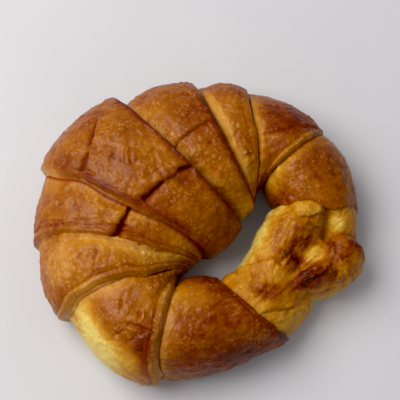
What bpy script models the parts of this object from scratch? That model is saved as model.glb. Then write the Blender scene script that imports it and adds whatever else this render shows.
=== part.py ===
"""Ring croissant: a rolled crescent whose two tips are clasped side by side.

Metres, +Z up, resting on z = 0 with the origin under the middle of the whole.
+X runs across the ring's longer width, and the tips meet at the +X, -Y side.
"""
import math
from collections import namedtuple

import bmesh
import bpy
import numpy as np

NAME = "croissant"
MM = 0.001

# ---------------------------------------------------------------- sizes (mm)
# A rolled edge crosses the limb from the hole to the outer rim.  hole and rim
# are where the limb is widest, crest is its height there, lean is how far the
# edge runs on round the ring at the crest, lip is how far it stands out, and
# sway how far it strays along the limb: (degrees round from the rim, shift).
Edge = namedtuple("Edge", "hole rim crest lean lip sway", defaults=((),))
ROLL_EDGES = (
    Edge(hole=(31.5, 12.5), rim=(66.5, 9.0), crest=31.0, lean=-2.0, lip=1.2,
         sway=((30, 1.6), (68, -0.8), (100, 1.4), (116, 0.0), (134, -3.2), (158, 0.8))),
    Edge(hole=(26.5, 21.3), rim=(53.4, 43.0), crest=35.0, lean=-0.6, lip=1.3),
    Edge(hole=(24.3, 18.5), rim=(20.3, 61.8), crest=37.0, lean=0.0, lip=1.1,
         sway=((60, 0.0), (126, -1.2), (150, 0.0))),
    Edge(hole=(22.7, 13.3), rim=(-1.8, 63.6), crest=39.0, lean=1.7, lip=2.1),
    Edge(hole=(16.0, 5.5), rim=(-35.6, 57.2), crest=42.5, lean=2.0, lip=3.0),
    Edge(hole=(1.5, -9.8), rim=(-66.2, 24.8), crest=42.5, lean=0.4, lip=2.8,
         sway=((39, 1.4), (65, -0.6), (84, 0.6), (124, -0.5))),
    Edge(hole=(-1.5, -12.0), rim=(-69.0, -7.3), crest=40.5, lean=-0.8, lip=1.7,
         sway=((40, -1.0), (75, -0.4), (96, 0.8), (120, 2.0), (144, 1.4))),
    Edge(hole=(-6.0, -15.5), rim=(-55.5, -37.2), crest=38.0, lean=-2.4, lip=2.0,
         sway=((24, 1.2), (49, -1.2), (70, -0.8), (92, -0.3), (112, 1.8), (140, 1.2))),
    Edge(hole=(-9.0, -20.5), rim=(-18.0, -62.2), crest=36.0, lean=-0.6, lip=1.5,
         sway=((5, 3.4), (20, 2.6), (38, 1.0), (60, 0.0))),
    Edge(hole=(8.5, -18.5), rim=(38.3, -43.5), crest=29.0, lean=-3.4, lip=0.8),
)
BELLY = 4                       # the band that the others run out from under
CROWN = (1.0, 0.4, 1.2, 0.9, 1.6, -1.6, 0.4, 0.2, 1.4)   # pillow of each band
TUCK = (1.7, 1.7, 1.7, 3.6, 0.0, 1.7, 1.7, 1.7, 1.7)     # dip where a band comes out
RISE_SHARE = 0.22               # share of a band that it takes to rise again
SLOPE_SHARE = 0.5               # part of the rise that goes on evenly to the lip
RIM_FLARE = 0.4                 # how much more a band stands out at the rim
FULL_WIDTH = 14.0               # a band narrower than this stands out less
LEAST_RELIEF = 0.22
LEAST_WIDTH = 3.0
LIP_GAP = 0.03                  # half the wall of a lip, as a share of a band

WIDEST = 0.36                   # level of the widest line, share of the height
FLAT_DEPTH = 0.8                # depth trimmed off below to make the flat base
ROUND_TOP = 2.15                # superellipse powers above and below that line
ROUND_BASE = 3.2

# A score is a split along a band: the outer side stands over the inner side.
Score = namedtuple("Score", "band start end angle step")
SCORES = (
    Score(band=4, start=0.0, end=0.85, angle=108.0, step=2.4),
    Score(band=4, start=0.1, end=0.9, angle=52.0, step=-1.6),
    Score(band=3, start=0.15, end=0.75, angle=84.0, step=1.8),
    Score(band=5, start=0.05, end=0.9, angle=93.0, step=2.4),
)
SCORE_SPREAD = 26.0             # degrees over which a score's step fades out

# Strands of dough in the clasp, as stations along their centre lines.
Station = namedtuple("Station", "x y half_width top base")
Strand = namedtuple("Strand", "name around stations")
CLASP = (
    Strand("lower_tip", 24, (
        Station(20.0, -34.0, 17.5, 27.0, 0.6), Station(27.0, -25.5, 17.5, 26.0, 0.5),
        Station(30.5, -15.5, 13.0, 25.5, 0.5), Station(34.5, -7.0, 12.6, 27.0, 0.5),
        Station(40.5, 2.5, 12.2, 28.0, 1.0), Station(46.0, 11.0, 9.5, 26.5, 3.0))),
    Strand("round_end", 14, (
        Station(40.8, 7.2, 5.4, 29.2, 8.0), Station(48.8, 7.0, 5.4, 28.6, 8.0))),
    Strand("valley", 12, (
        Station(44.5, -13.0, 4.4, 22.0, 2.0), Station(51.0, -7.5, 4.2, 21.5, 2.0))),
    Strand("lower_roll", 16, (
        Station(22.0, -41.0, 8.0, 17.0, 0.4), Station(32.5, -35.5, 8.2, 18.0, 0.5),
        Station(40.0, -30.5, 6.4, 18.0, 0.5), Station(44.5, -27.0, 4.0, 16.0, 1.0))),
    Strand("upper_neck", 20, (
        Station(56.5, 20.0, 8.5, 24.0, 0.6), Station(58.9, 7.0, 8.2, 21.5, 0.5),
        Station(58.4, -3.0, 7.6, 20.5, 0.5))),
    Strand("claw", 20, (
        Station(61.4, -6.0, 9.3, 25.0, 0.6), Station(57.6, -13.0, 10.0, 26.0, 0.5),
        Station(50.5, -18.8, 8.0, 26.0, 0.5), Station(44.5, -22.5, 5.5, 24.5, 2.0))),
)
TIP_WIDEST = 0.42
TIP_ROUND_TOP = 2.1
TIP_ROUND_BASE = 3.0
STRAND_END = 0.45               # length of a strand's round end, in half widths
END_TURNS = (20.0, 45.0, 68.0, 84.0)                    # degrees over that end

BAND_COLUMNS = (0.0, 0.12, 0.3, 0.52, 0.74, 0.9, 1.0)   # shares of a band
AROUND = 48                     # points round the limb
STATION_COLUMNS = 3             # columns from one station of a strand to the next
CRUST_COLOUR = (0.46, 0.17, 0.035, 1.0)


# ----------------------------------------------------------------- geometry
def smooth_step(value, low, high):
    """Ease from 0 at low to 1 at high."""
    share = np.clip((value - low) / (high - low), 0.0, 1.0)
    return share * share * (3.0 - 2.0 * share)


def through(rows, at):
    """Read a smooth curve through rows, one row a step, at the places at."""
    rows = np.asarray(rows, float)
    slopes = np.gradient(rows, axis=0)
    first = np.clip(np.floor(at).astype(int), 0, len(rows) - 2)
    share = (np.asarray(at) - first)[:, None]
    squared, cubed = share ** 2, share ** 3
    return ((2 * cubed - 3 * squared + 1) * rows[first]
            + (cubed - 2 * squared + share) * slopes[first]
            + (3 * squared - 2 * cubed) * rows[first + 1]
            + (cubed - squared) * slopes[first + 1])


def section(angles, top, base, widest, round_top, round_base):
    """Superellipse from base to top: sideways share, height and outward normal."""
    cosine, sine = np.cos(angles), np.sin(angles)
    power = np.where(sine >= 0.0, round_top, round_base)
    middle = base + widest * (top - base)
    reach = np.where(sine >= 0.0, top - middle, middle - base)
    across = np.sign(cosine) * np.abs(cosine) ** (2.0 / power)
    height = middle + reach * np.sign(sine) * np.abs(sine) ** (2.0 / power)
    return across, height, middle, reach


def limb_surface(places, angles):
    """Points and outward normals of the plain limb, before its bands."""
    rows = [(*edge.hole, *edge.rim, edge.crest, edge.lean) for edge in ROLL_EDGES]
    hole_x, hole_y, rim_x, rim_y, crest, lean = through(rows, places).T
    spoke = np.stack([rim_x - hole_x, rim_y - hole_y]) / 2.0
    half = np.linalg.norm(spoke, axis=0)
    across, height, middle, reach = section(
        angles, crest, -FLAT_DEPTH, WIDEST, ROUND_TOP, ROUND_BASE)
    facing = spoke / half
    forward = lean * np.clip(np.sin(angles), 0.0, 1.0)
    centre = np.stack([hole_x + rim_x, hole_y + rim_y]) / 2.0
    flat = centre + across * spoke + forward * np.stack([-facing[1], facing[0]])
    slope = np.stack([across / half, (height - middle) / reach ** 2])
    slope /= np.linalg.norm(slope, axis=0)
    normals = np.stack([slope[0] * facing[0], slope[0] * facing[1], slope[1]], axis=1)
    return np.stack([flat[0], flat[1], height], axis=1), normals


def strayed(edge, angles):
    """How far an edge strays along the limb at these angles round it."""
    sway = ((-20, 0.0), *ROLL_EDGES[edge].sway, (200, 0.0))
    turns, shifts = np.array(sway, float).T
    degrees = np.degrees(angles)
    degrees = np.clip(np.where(degrees > 270.0, degrees - 360.0, degrees), turns[0], turns[-1])
    first = np.clip(np.searchsorted(turns, degrees) - 1, 0, len(turns) - 2)
    share = smooth_step(degrees, turns[first], turns[first + 1])
    return shifts[first] + (shifts[first + 1] - shifts[first]) * share


def band_profile(band, share):
    """How far a band stands out at a share of its width, from edge to edge."""
    crown = CROWN[band] * 4.0 * share * (1.0 - share)
    if band == BELLY:
        lip_low, lip_high = ROLL_EDGES[band].lip, ROLL_EDGES[band + 1].lip
        return lip_low + (lip_high - lip_low) * share + crown
    outward = 1.0 - share if band < BELLY else share
    lip = ROLL_EDGES[band if band < BELLY else band + 1].lip
    rise = (1.0 - SLOPE_SHARE) * smooth_step(outward, 0.0, RISE_SHARE) + SLOPE_SHARE * outward
    return -TUCK[band] + (TUCK[band] + lip) * rise + crown


def score_relief(band, share, angles):
    """Steps of the scores that cross this column of the band."""
    relief = np.zeros_like(angles)
    for score in SCORES:
        if score.band != band or not score.start <= share <= score.end:
            continue
        off = (math.radians(score.angle) - angles) / math.radians(SCORE_SPREAD)
        relief += 0.5 * score.step * np.sign(off) * np.clip(1.0 - np.abs(off), 0.0, 1.0)
    return relief


def crescent_rings():
    """Rings of points round the limb, from the upper limb's end to the lower's."""
    angles = np.linspace(0.0, 2.0 * math.pi, AROUND, endpoint=False)
    standing = smooth_step(np.sin(angles), -0.9, 0.1)
    flare = 1.0 + RIM_FLARE * np.clip(np.cos(angles), 0.0, 1.0)
    rings = []
    for band in range(len(ROLL_EDGES) - 1):
        ends = [limb_surface(np.full(AROUND, float(edge)), angles)[0] for edge in (band, band + 1)]
        width = np.maximum(np.linalg.norm(ends[1] - ends[0], axis=1), LEAST_WIDTH)
        low = band + strayed(band, angles) / width
        high = band + 1 + strayed(band + 1, angles) / width
        relief = standing * flare * np.clip(width / FULL_WIDTH, LEAST_RELIEF, 1.0)
        for share in BAND_COLUMNS:
            places = low + (high - low) * (LIP_GAP + share * (1.0 - 2.0 * LIP_GAP))
            ring, normals = limb_surface(places, angles)
            out = (band_profile(band, share) + score_relief(band, share, angles)) * relief
            ring = ring + out[:, None] * normals
            ring[:, 2] = np.maximum(ring[:, 2], 0.0)
            rings.append(ring)
    return rings


def strand_rings(strand):
    """Rings along a strand of dough, with a round end beyond each end station."""
    last = len(strand.stations) - 1
    places = np.linspace(0.0, last, last * STATION_COLUMNS + 1)
    rows = through(strand.stations, places)
    forward = np.gradient(rows[:, :2], axis=0)
    forward /= np.linalg.norm(forward, axis=1)[:, None]
    turns = np.radians(END_TURNS)
    steps = [(0, -math.sin(turn), math.cos(turn)) for turn in turns[::-1]]
    steps += [(row, 0.0, 1.0) for row in range(len(rows))]
    steps += [(-1, math.sin(turn), math.cos(turn)) for turn in turns]
    angles = np.linspace(0.0, 2.0 * math.pi, strand.around, endpoint=False)
    rings = []
    for row, beyond, closing in steps:
        x, y, half, top, base = rows[row]
        ahead_x, ahead_y = forward[row]
        x += ahead_x * STRAND_END * half * beyond
        y += ahead_y * STRAND_END * half * beyond
        across, height, middle, _ = section(
            angles, top, base, TIP_WIDEST, TIP_ROUND_TOP, TIP_ROUND_BASE)
        ring = np.empty((strand.around, 3))
        ring[:, 0] = x + ahead_y * half * closing * across
        ring[:, 1] = y - ahead_x * half * closing * across
        ring[:, 2] = middle + (height - middle) * closing
        rings.append(ring)
    return rings


def loft(name, rings, collection):
    """Closed mesh object through the rings, with a fan over each end."""
    count = len(rings[0])
    points = [tuple(point * MM) for ring in rings for point in ring]
    faces = []
    for row in range(len(rings) - 1):
        for side in range(count):
            beside = (side + 1) % count
            faces.append((row * count + side, row * count + beside,
                          (row + 1) * count + beside, (row + 1) * count + side))
    for row in (0, len(rings) - 1):
        points.append(tuple(rings[row].mean(axis=0) * MM))
        faces += [(row * count + side, row * count + (side + 1) % count, len(points) - 1)
                  for side in range(count)]
    mesh = bpy.data.meshes.new(name)
    mesh.from_pydata(points, [], faces)
    form = bmesh.new()
    form.from_mesh(mesh)
    bmesh.ops.triangulate(form, faces=form.faces)
    bmesh.ops.recalc_face_normals(form, faces=form.faces)
    form.to_mesh(mesh)
    form.free()
    piece = bpy.data.objects.new(name, mesh)
    collection.objects.link(piece)
    return piece


# ------------------------------------------------------------------ the part
def clear_scene():
    """Remove the objects that the scene opens with."""
    for thing in list(bpy.data.objects):
        bpy.data.objects.remove(thing, do_unlink=True)


def new_collection(name):
    """A collection linked to the scene."""
    collection = bpy.data.collections.new(name)
    bpy.context.scene.collection.children.link(collection)
    return collection


def crust_material():
    """Plain baked crust."""
    material = bpy.data.materials.new("baked_crust")
    material.use_nodes = True
    shader = material.node_tree.nodes["Principled BSDF"]
    shader.inputs["Base Color"].default_value = CRUST_COLOUR
    shader.inputs["Roughness"].default_value = 0.42
    shader.inputs["Metallic"].default_value = 0.0
    return material


def fuse(piece, strands):
    """Join the strands to the piece in one union, and drop them."""
    joining = piece.modifiers.new("join_strands", "BOOLEAN")
    joining.operation = "UNION"
    joining.operand_type = "COLLECTION"
    joining.collection = strands
    joining.solver = "EXACT"
    shape = bpy.context.evaluated_depsgraph_get()
    joined = bpy.data.meshes.new_from_object(piece.evaluated_get(shape))
    piece.modifiers.clear()
    piece.data = joined
    for strand in list(strands.objects):
        bpy.data.objects.remove(strand, do_unlink=True)
    bpy.data.collections.remove(strands)


def rest_at_origin(piece):
    """Stand the piece on z = 0 with the origin under the middle of its box."""
    points = np.array([vertex.co for vertex in piece.data.vertices])
    low, high = points.min(axis=0), points.max(axis=0)
    shift = np.array([(low[0] + high[0]) / 2.0, (low[1] + high[1]) / 2.0, low[2]])
    for vertex in piece.data.vertices:
        vertex.co = tuple(np.array(vertex.co) - shift)


def build_croissant():
    """The whole croissant as one solid."""
    body = new_collection(NAME)
    clasp = new_collection("clasp")
    croissant = loft(NAME, crescent_rings(), body)
    for strand in CLASP:
        loft(strand.name, strand_rings(strand), clasp)
    fuse(croissant, clasp)
    rest_at_origin(croissant)
    croissant.data.materials.clear()
    croissant.data.materials.append(crust_material())
    croissant.data.shade_smooth()


clear_scene()
build_croissant()
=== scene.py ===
"""Ring croissant: the baked finish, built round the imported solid.

The limb is a row of rolled bands, each a closed shell that starts under its
neighbour and ends in a layered lip.  Two tapered tips are clasped at the end.
Lengths in the tables are in millimetres, and every mesh is in metres.
"""
import math
from collections import namedtuple

import bpy
import numpy as np
from bpy.props import FloatProperty, FloatVectorProperty, IntProperty, PointerProperty
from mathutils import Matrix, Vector


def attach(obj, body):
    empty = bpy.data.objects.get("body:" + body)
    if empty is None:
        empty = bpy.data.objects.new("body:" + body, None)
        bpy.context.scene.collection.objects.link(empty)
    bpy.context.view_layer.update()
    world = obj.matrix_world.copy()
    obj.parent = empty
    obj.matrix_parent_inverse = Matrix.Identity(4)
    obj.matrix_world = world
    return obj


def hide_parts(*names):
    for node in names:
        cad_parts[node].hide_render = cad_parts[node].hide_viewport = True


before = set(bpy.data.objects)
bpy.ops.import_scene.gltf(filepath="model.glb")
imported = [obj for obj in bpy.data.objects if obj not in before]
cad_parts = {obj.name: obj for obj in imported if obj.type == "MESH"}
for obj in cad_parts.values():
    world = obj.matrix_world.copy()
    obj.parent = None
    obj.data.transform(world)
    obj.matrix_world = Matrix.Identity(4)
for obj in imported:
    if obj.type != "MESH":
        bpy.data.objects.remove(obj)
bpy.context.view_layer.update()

bl_info = {
    "name": "Ring Croissant",
    "version": (1, 0, 0),
    "blender": (4, 5, 0),
    "location": "3D View > Sidebar > Croissant",
    "description": "Rolled bands, clasped tips and baked crust of a ring croissant",
    "category": "Add Mesh",
}

MM = 0.001
NODE = "croissant"
BODY = "root"
MIDDLE = np.array([-0.80, 1.03, 0.0])   # middle of the ring, in the tables' own places
FAR, TINY = 1e3, 1e-6           # further than anything on the croissant, and next to nothing

# ------------------------------------------------------------ the rolled limb
# hole and rim are where the limb is widest at a rolled edge, crest its height
# there, and lean how far the edge runs on at the crest.  lip is how far the
# edge stands out, treads the widths of the layers that show as steps before
# it ends, and sway how far it strays along the limb: (degrees round, shift).
Edge = namedtuple("Edge", "hole rim crest lean lip treads sway")
ROLL_EDGES = (
    Edge((31.5, 12.5), (67.0, 9.2), 30.0, -2.0, 0.6, (0.5,),
         ((30, 1.6), (68, -0.8), (100, 1.4), (116, 0.0), (134, -3.2), (158, 0.8))),
    Edge((26.5, 21.3), (53.4, 43.0), 35.0, -0.6, 1.3, (2.8,), ()),
    Edge((24.3, 18.5), (20.3, 61.8), 37.0, 0.0, 1.1, (0.9,),
         ((60, 0.0), (126, -1.2), (150, 0.0))),
    Edge((22.7, 13.3), (-1.8, 63.6), 39.0, 1.7, 2.1, (), ()),
    Edge((16.0, 5.5), (-35.6, 57.2), 42.5, 2.0, 3.0, (0.5,), ()),
    Edge((1.5, -9.8), (-66.2, 24.8), 42.5, 0.4, 2.8, (0.7, 1.6),
         ((39, 1.4), (65, -0.6), (84, 0.6), (124, -0.5))),
    Edge((-1.5, -12.0), (-69.0, -7.3), 40.5, -0.8, 1.7, (4.2,),
         ((40, -1.9), (75, -1.7), (96, -0.2), (120, 1.9), (144, 1.4))),
    Edge((-6.0, -15.5), (-55.5, -37.2), 38.0, -2.4, 2.0, (3.4,),
         ((24, 1.2), (49, -1.2), (70, -0.8), (92, -0.3), (112, 1.8), (140, 1.2))),
    Edge((-9.0, -20.5), (-18.0, -62.2), 36.0, -0.6, 1.5, (4.0,),
         ((5, 3.4), (20, 2.6), (38, 1.0), (60, 0.0))),
    Edge((8.5, -18.5), (38.3, -43.5), 29.0, -3.4, 0.8, (2.4,), ()),
)
SWAY_ENDS = (-20, 200)          # degrees round the limb beyond which no edge strays
BELLY = 4                       # the number of the middle band, which has a lip on both sides
BAND_NAMES = ("upper_band_4", "upper_band_3", "upper_band_2", "upper_band_1", "belly_band",
              "lower_band_1", "lower_band_2", "lower_band_3", "lower_band_4")

# How far each band swells in the middle, and how far in it starts under its
# neighbour, at the crest and at the rim.
CROWN = (1.0, 0.4, 1.2, 0.9, 1.6, -1.6, 0.4, 0.2, 1.4)
RIM_CROWN = (1.8, 1.4, 1.0, 0.9, 1.5, -1.2, -0.4, 0.6, 1.6)
TUCK = (1.7, 1.7, 1.7, 3.2, 0.0, 1.7, 1.7, 1.7, 1.7)
RIM_TUCK = (0.3, 0.3, 0.4, 2.6, 0.0, 0.7, 0.9, 1.0, 1.4)
# The share of its lip that an edge keeps at the rim, where that isn't all.
RIM_LIPS = {1: 0.15, 4: 0.75, 5: 0.7, 6: 0.6, 9: 0.75}

# The limb's section: a rounded top, and a fuller base that runs on below the
# table and is cut flat there.
FLAT_DEPTH = 0.8
WIDEST = 0.36                   # where the section is widest, as a share of its height
ROUND_TOP, ROUND_BASE = 2.15, 3.2       # 2 is an ellipse, and more is squarer
GIRTH_STEPS = 2880
UNDERSIDE, UNDERSIDE_SHARE = -0.4, 0.4  # sine of the angle below which points are wider apart

# A band's profile from its tucked side to its lip.
RISE_SHARES = (0.22, 0.6)       # share of its width over which it rises, at the crest and the rim
SLOPE_SHARE = 0.5               # share of that rise that is an even slope over the whole band
RIM_FLARE = 0.4                 # how much further everything stands out at the rim
FULL_WIDTH, LEAST_SHARE = 14.0, 0.22    # a narrower band stands out less, down to this share
LEAST_WIDTH, LEAST_COLUMNS = 3.0, 24
STANDING_FROM = (-0.9, 0.1)     # sines of the angle between which the form grows out of the flat base

# A lip and its layers.
CREVICE = 0.2                   # gap left under a lip
LIP_ROUND = 3.2                 # largest rounding of its front
LIP_ROUND_SHARES = (0.5, 0.8)   # share of its height that is rounded, at the crest and at the rim
TREAD_ROUND_SHARES = (0.2, 0.5)         # most of a layer's step that the rounding takes, likewise
TREAD_SHARES = (1.15, 1.2)      # how wide a layer's step is for a width of 1, likewise
STEP_SHARE = 0.12               # share of a lip's height in the steps above its last layer
SOFT_STEP, SOFT_SHARE = 0.5, 0.3        # half the width of the slope down to a layer, and its most
SLOPE_PARTS = (0.0, 0.25, 0.5, 0.75, 1.0)
TREAD_PARTS = (0.2, 0.4, 0.6, 0.8)
TREAD_BULGE = 0.03
LIP_CALM = 2.0                  # the relief dies down over this distance towards a lip
TREAD_RELIEF, WIDE_TREAD = 0.55, 3.0    # share of it that comes back on a layer this wide
FRONT_COLUMNS, WALL_COLUMNS = 9, 12
EDGE_WAVER = ((21.0, 0.24), (7.0, 0.09))        # wave lengths and heights
LAYER_WAVER = ((16.0, 0.16), (5.0, 0.05))
WAVER_SHARE, WAVER_GROWTH = 0.3, 0.5    # of a last layer, and of each millimetre further back
UNDER_LIP = ((0.5, -0.05), (1.6, 0.6), (3.2, 1.4))      # back and down from a front's foot
UNDER_NEIGHBOUR = ((1.2, 0.2), (2.8, 0.8))              # on and down, under the next band
CAP_SHARES = (0.8, 0.45)        # rings that close a band inside, as shares of its section

# Grooves down a lip's front, where thin layers show: the number of the column
# and what it adds to the seed, then their depth, painted shade and unevenness.
LAYER_LINES = {3: 31, 4: 31, 8: 32}
LAYER_GROOVE, LAYER_SHADE = 0.35, 0.8
GROOVE_SHARE, GROOVE_CHANGE, GROOVE_MOST = 0.55, 3.5, 1.1

# A strip along a rolled edge, between two angles round the limb in degrees (0 is
# the outer side, 90 the crest and 180 the hole side): its distance from the
# edge, half its width, and its changes of bake and dryness.
Strip = namedtuple("Strip", "edge first last away width change dry")
STRIPS = {
    "belly_band": (Strip(4, 20, 170, 0.8, 1.6, 0.16, 0.0), Strip(5, 60, 150, 3.0, 2.5, 0.08, 0.0),
                   Strip(5, -50, 58, 1.0, 2.6, -0.26, 0.35)),
    "upper_band_1": (Strip(4, 50, 118, 1.5, 5.0, 0.09, 0.45), Strip(4, 106, 140, 1.0, 3.6, -0.05, 0.6),
                     Strip(4, 20, 66, 1.5, 2.5, -0.08, 0.4), Strip(3, 40, 150, 1.0, 2.0, 0.16, 0.0)),
    "upper_band_2": (Strip(3, 30, 150, 2.0, 2.6, -0.20, 0.35), Strip(2, 30, 160, 1.0, 2.0, -0.10, 0.2)),
    "upper_band_3": (Strip(2, 30, 160, 1.5, 2.6, -0.12, 0.2), Strip(1, 40, 150, 1.6, 1.8, -0.18, 0.2)),
    "upper_band_4": (Strip(1, 40, 150, 2.0, 2.5, -0.12, 0.1), Strip(0, 20, 120, 1.0, 3.5, -0.12, 0.1)),
    "lower_band_1": (Strip(6, 125, 165, 2.5, 3.0, -0.14, 0.2), Strip(6, 0, 110, 2.4, 1.8, -0.03, 0.0),
                     Strip(5, 84, 124, 0.6, 1.5, -0.12, 0.20)),
    "lower_band_2": (Strip(6, 60, 160, 1.5, 3.2, -0.18, 0.35), Strip(7, -20, 90, 1.4, 3.0, -0.16, 0.45)),
    # the darker strip 6.5 mm in from edge 8, along the right edge, is partly painted shade and partly darker
    # crust
    "lower_band_3": (Strip(7, -80, 60, 16.0, 19.0, -0.66, 0.0), Strip(7, 30, 100, 1.0, 4.0, -0.12, 0.4),
                     Strip(8, -10, 150, 1.5, 2.7, -0.07, 0.42), Strip(8, 10, 84, 6.5, 2.0, 0.10, 0.0)),
    "lower_band_4": (Strip(8, 0, 150, 1.0, 3.0, -0.14, 0.3),),
}

# A fine line that keeps its distance from a rolled edge, where it doesn't fade; its shade is painted shade in
# its groove.
Line = namedtuple("Line", "edge away depth width shade")
LINES = {
    "belly_band": (Line(5, 3.4, 0.22, 0.35, 0.35), Line(5, 4.8, 0.18, 0.35, 0.25)),
    "upper_band_1": (Line(4, 5.5, 0.12, 0.4, 0.15),),
    "upper_band_2": (Line(3, 4.6, 0.25, 0.4, 0.4), Line(2, 3.4, 0.2, 0.4, 0.3)),
    "upper_band_4": (Line(0, 4.4, 0.18, 0.4, 0.25),),
    "lower_band_1": (Line(6, 5.4, 0.42, 0.4, 0.75), Line(6, 6.9, 0.34, 0.35, 0.7)),
    "lower_band_3": (Line(8, 5.6, 0.2, 0.5, 0.55),),
}
LINE_SHARE, LINE_MOST, LINE_CHANGE = 0.6, 1.2, ((30.0, 0.5), (11.0, 0.35))
LINE_WAVER = ((12.0, 0.4), (3.5, 0.15))

# ------------------------------------------------------------------ the knot
# Strands of dough that melt into one skin, as stations along a centre line.
KNOT_NAME = "clasped_tips"
Station = namedtuple("Station", "x y half_width top base")
Strand = namedtuple("Strand", "melt stations")
KNOT = (
    # the lower limb's tapering end, up to where it dives under the upper limb
    Strand(0.0, (Station(20.0, -34.0, 17.5, 27.0, 0.6), Station(27.0, -25.5, 17.5, 26.0, 0.5),
                 Station(30.5, -15.5, 13.0, 25.5, 0.5), Station(34.5, -7.0, 12.6, 27.0, 0.5),
                 Station(40.5, 2.5, 12.2, 29.2, 1.0), Station(45.5, 10.0, 9.0, 28.0, 3.0))),
    # the upper limb's neck, and the claw that curls over beside it
    Strand(1.6, (Station(56.0, 20.0, 7.5, 26.5, 0.6), Station(58.6, 7.0, 8.0, 25.5, 0.5),
                 Station(58.4, -3.0, 7.6, 21.5, 0.5))),
    Strand(1.4, (Station(61.4, -6.0, 9.3, 25.0, 0.6), Station(57.6, -13.0, 10.0, 26.0, 0.5),
                 Station(50.5, -18.8, 8.0, 26.0, 0.5), Station(44.5, -22.5, 5.5, 24.5, 2.0))),
    # the lower roll of dough beside the last band
    Strand(1.6, (Station(22.0, -41.0, 8.0, 17.0, 0.4), Station(32.5, -35.5, 8.2, 18.0, 0.5),
                 Station(40.0, -30.5, 6.4, 18.0, 0.5), Station(44.5, -27.0, 4.0, 16.0, 1.0))),
    # the round end pressed against the upper limb
    Strand(5.0, (Station(40.6, 6.6, 5.3, 31.0, 10.0), Station(45.0, 7.1, 5.6, 31.6, 10.0),
                 Station(49.4, 6.2, 5.0, 30.6, 10.0))),
    # the fold along the claw's inner edge, and pale dough down in the valley
    Strand(3.2, (Station(53.0, -16.4, 2.4, 27.0, 18.0), Station(48.5, -18.6, 2.8, 27.6, 18.0),
                 Station(44.2, -20.8, 3.0, 27.6, 17.0), Station(40.6, -24.2, 2.8, 25.8, 16.0))),
    Strand(3.0, (Station(43.0, -14.6, 2.6, 22.0, 8.0), Station(47.2, -10.6, 3.0, 23.2, 8.0),
                 Station(51.6, -5.6, 3.2, 22.0, 8.0))),
)
KNOT_ROUND_TOP, KNOT_ROUND_BASE = 2.1, 3.0
KNOT_WIDEST = 0.42              # where a strand is widest, as a share of its height
STRAND_END = 0.45               # how blunt a strand's end is
STRAND_STEPS = 300
MELT_SHARE = 0.25               # share of its melt by which two strands swell where they meet
KNOT_MARGIN = 3.0
KNOT_STANDING = (1.0, 6.0)      # heights between which creases and folds grow
FOLD_SWAY = ((18.0, 0.8),)      # stretched folds in the knot's skin: how they stray, and their waves
FOLD_WAVES = ((7.0, 0.20), (3.2, 0.12))
FOLD_DRIFT, FOLD_BAKE = 2.0, -0.08
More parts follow.
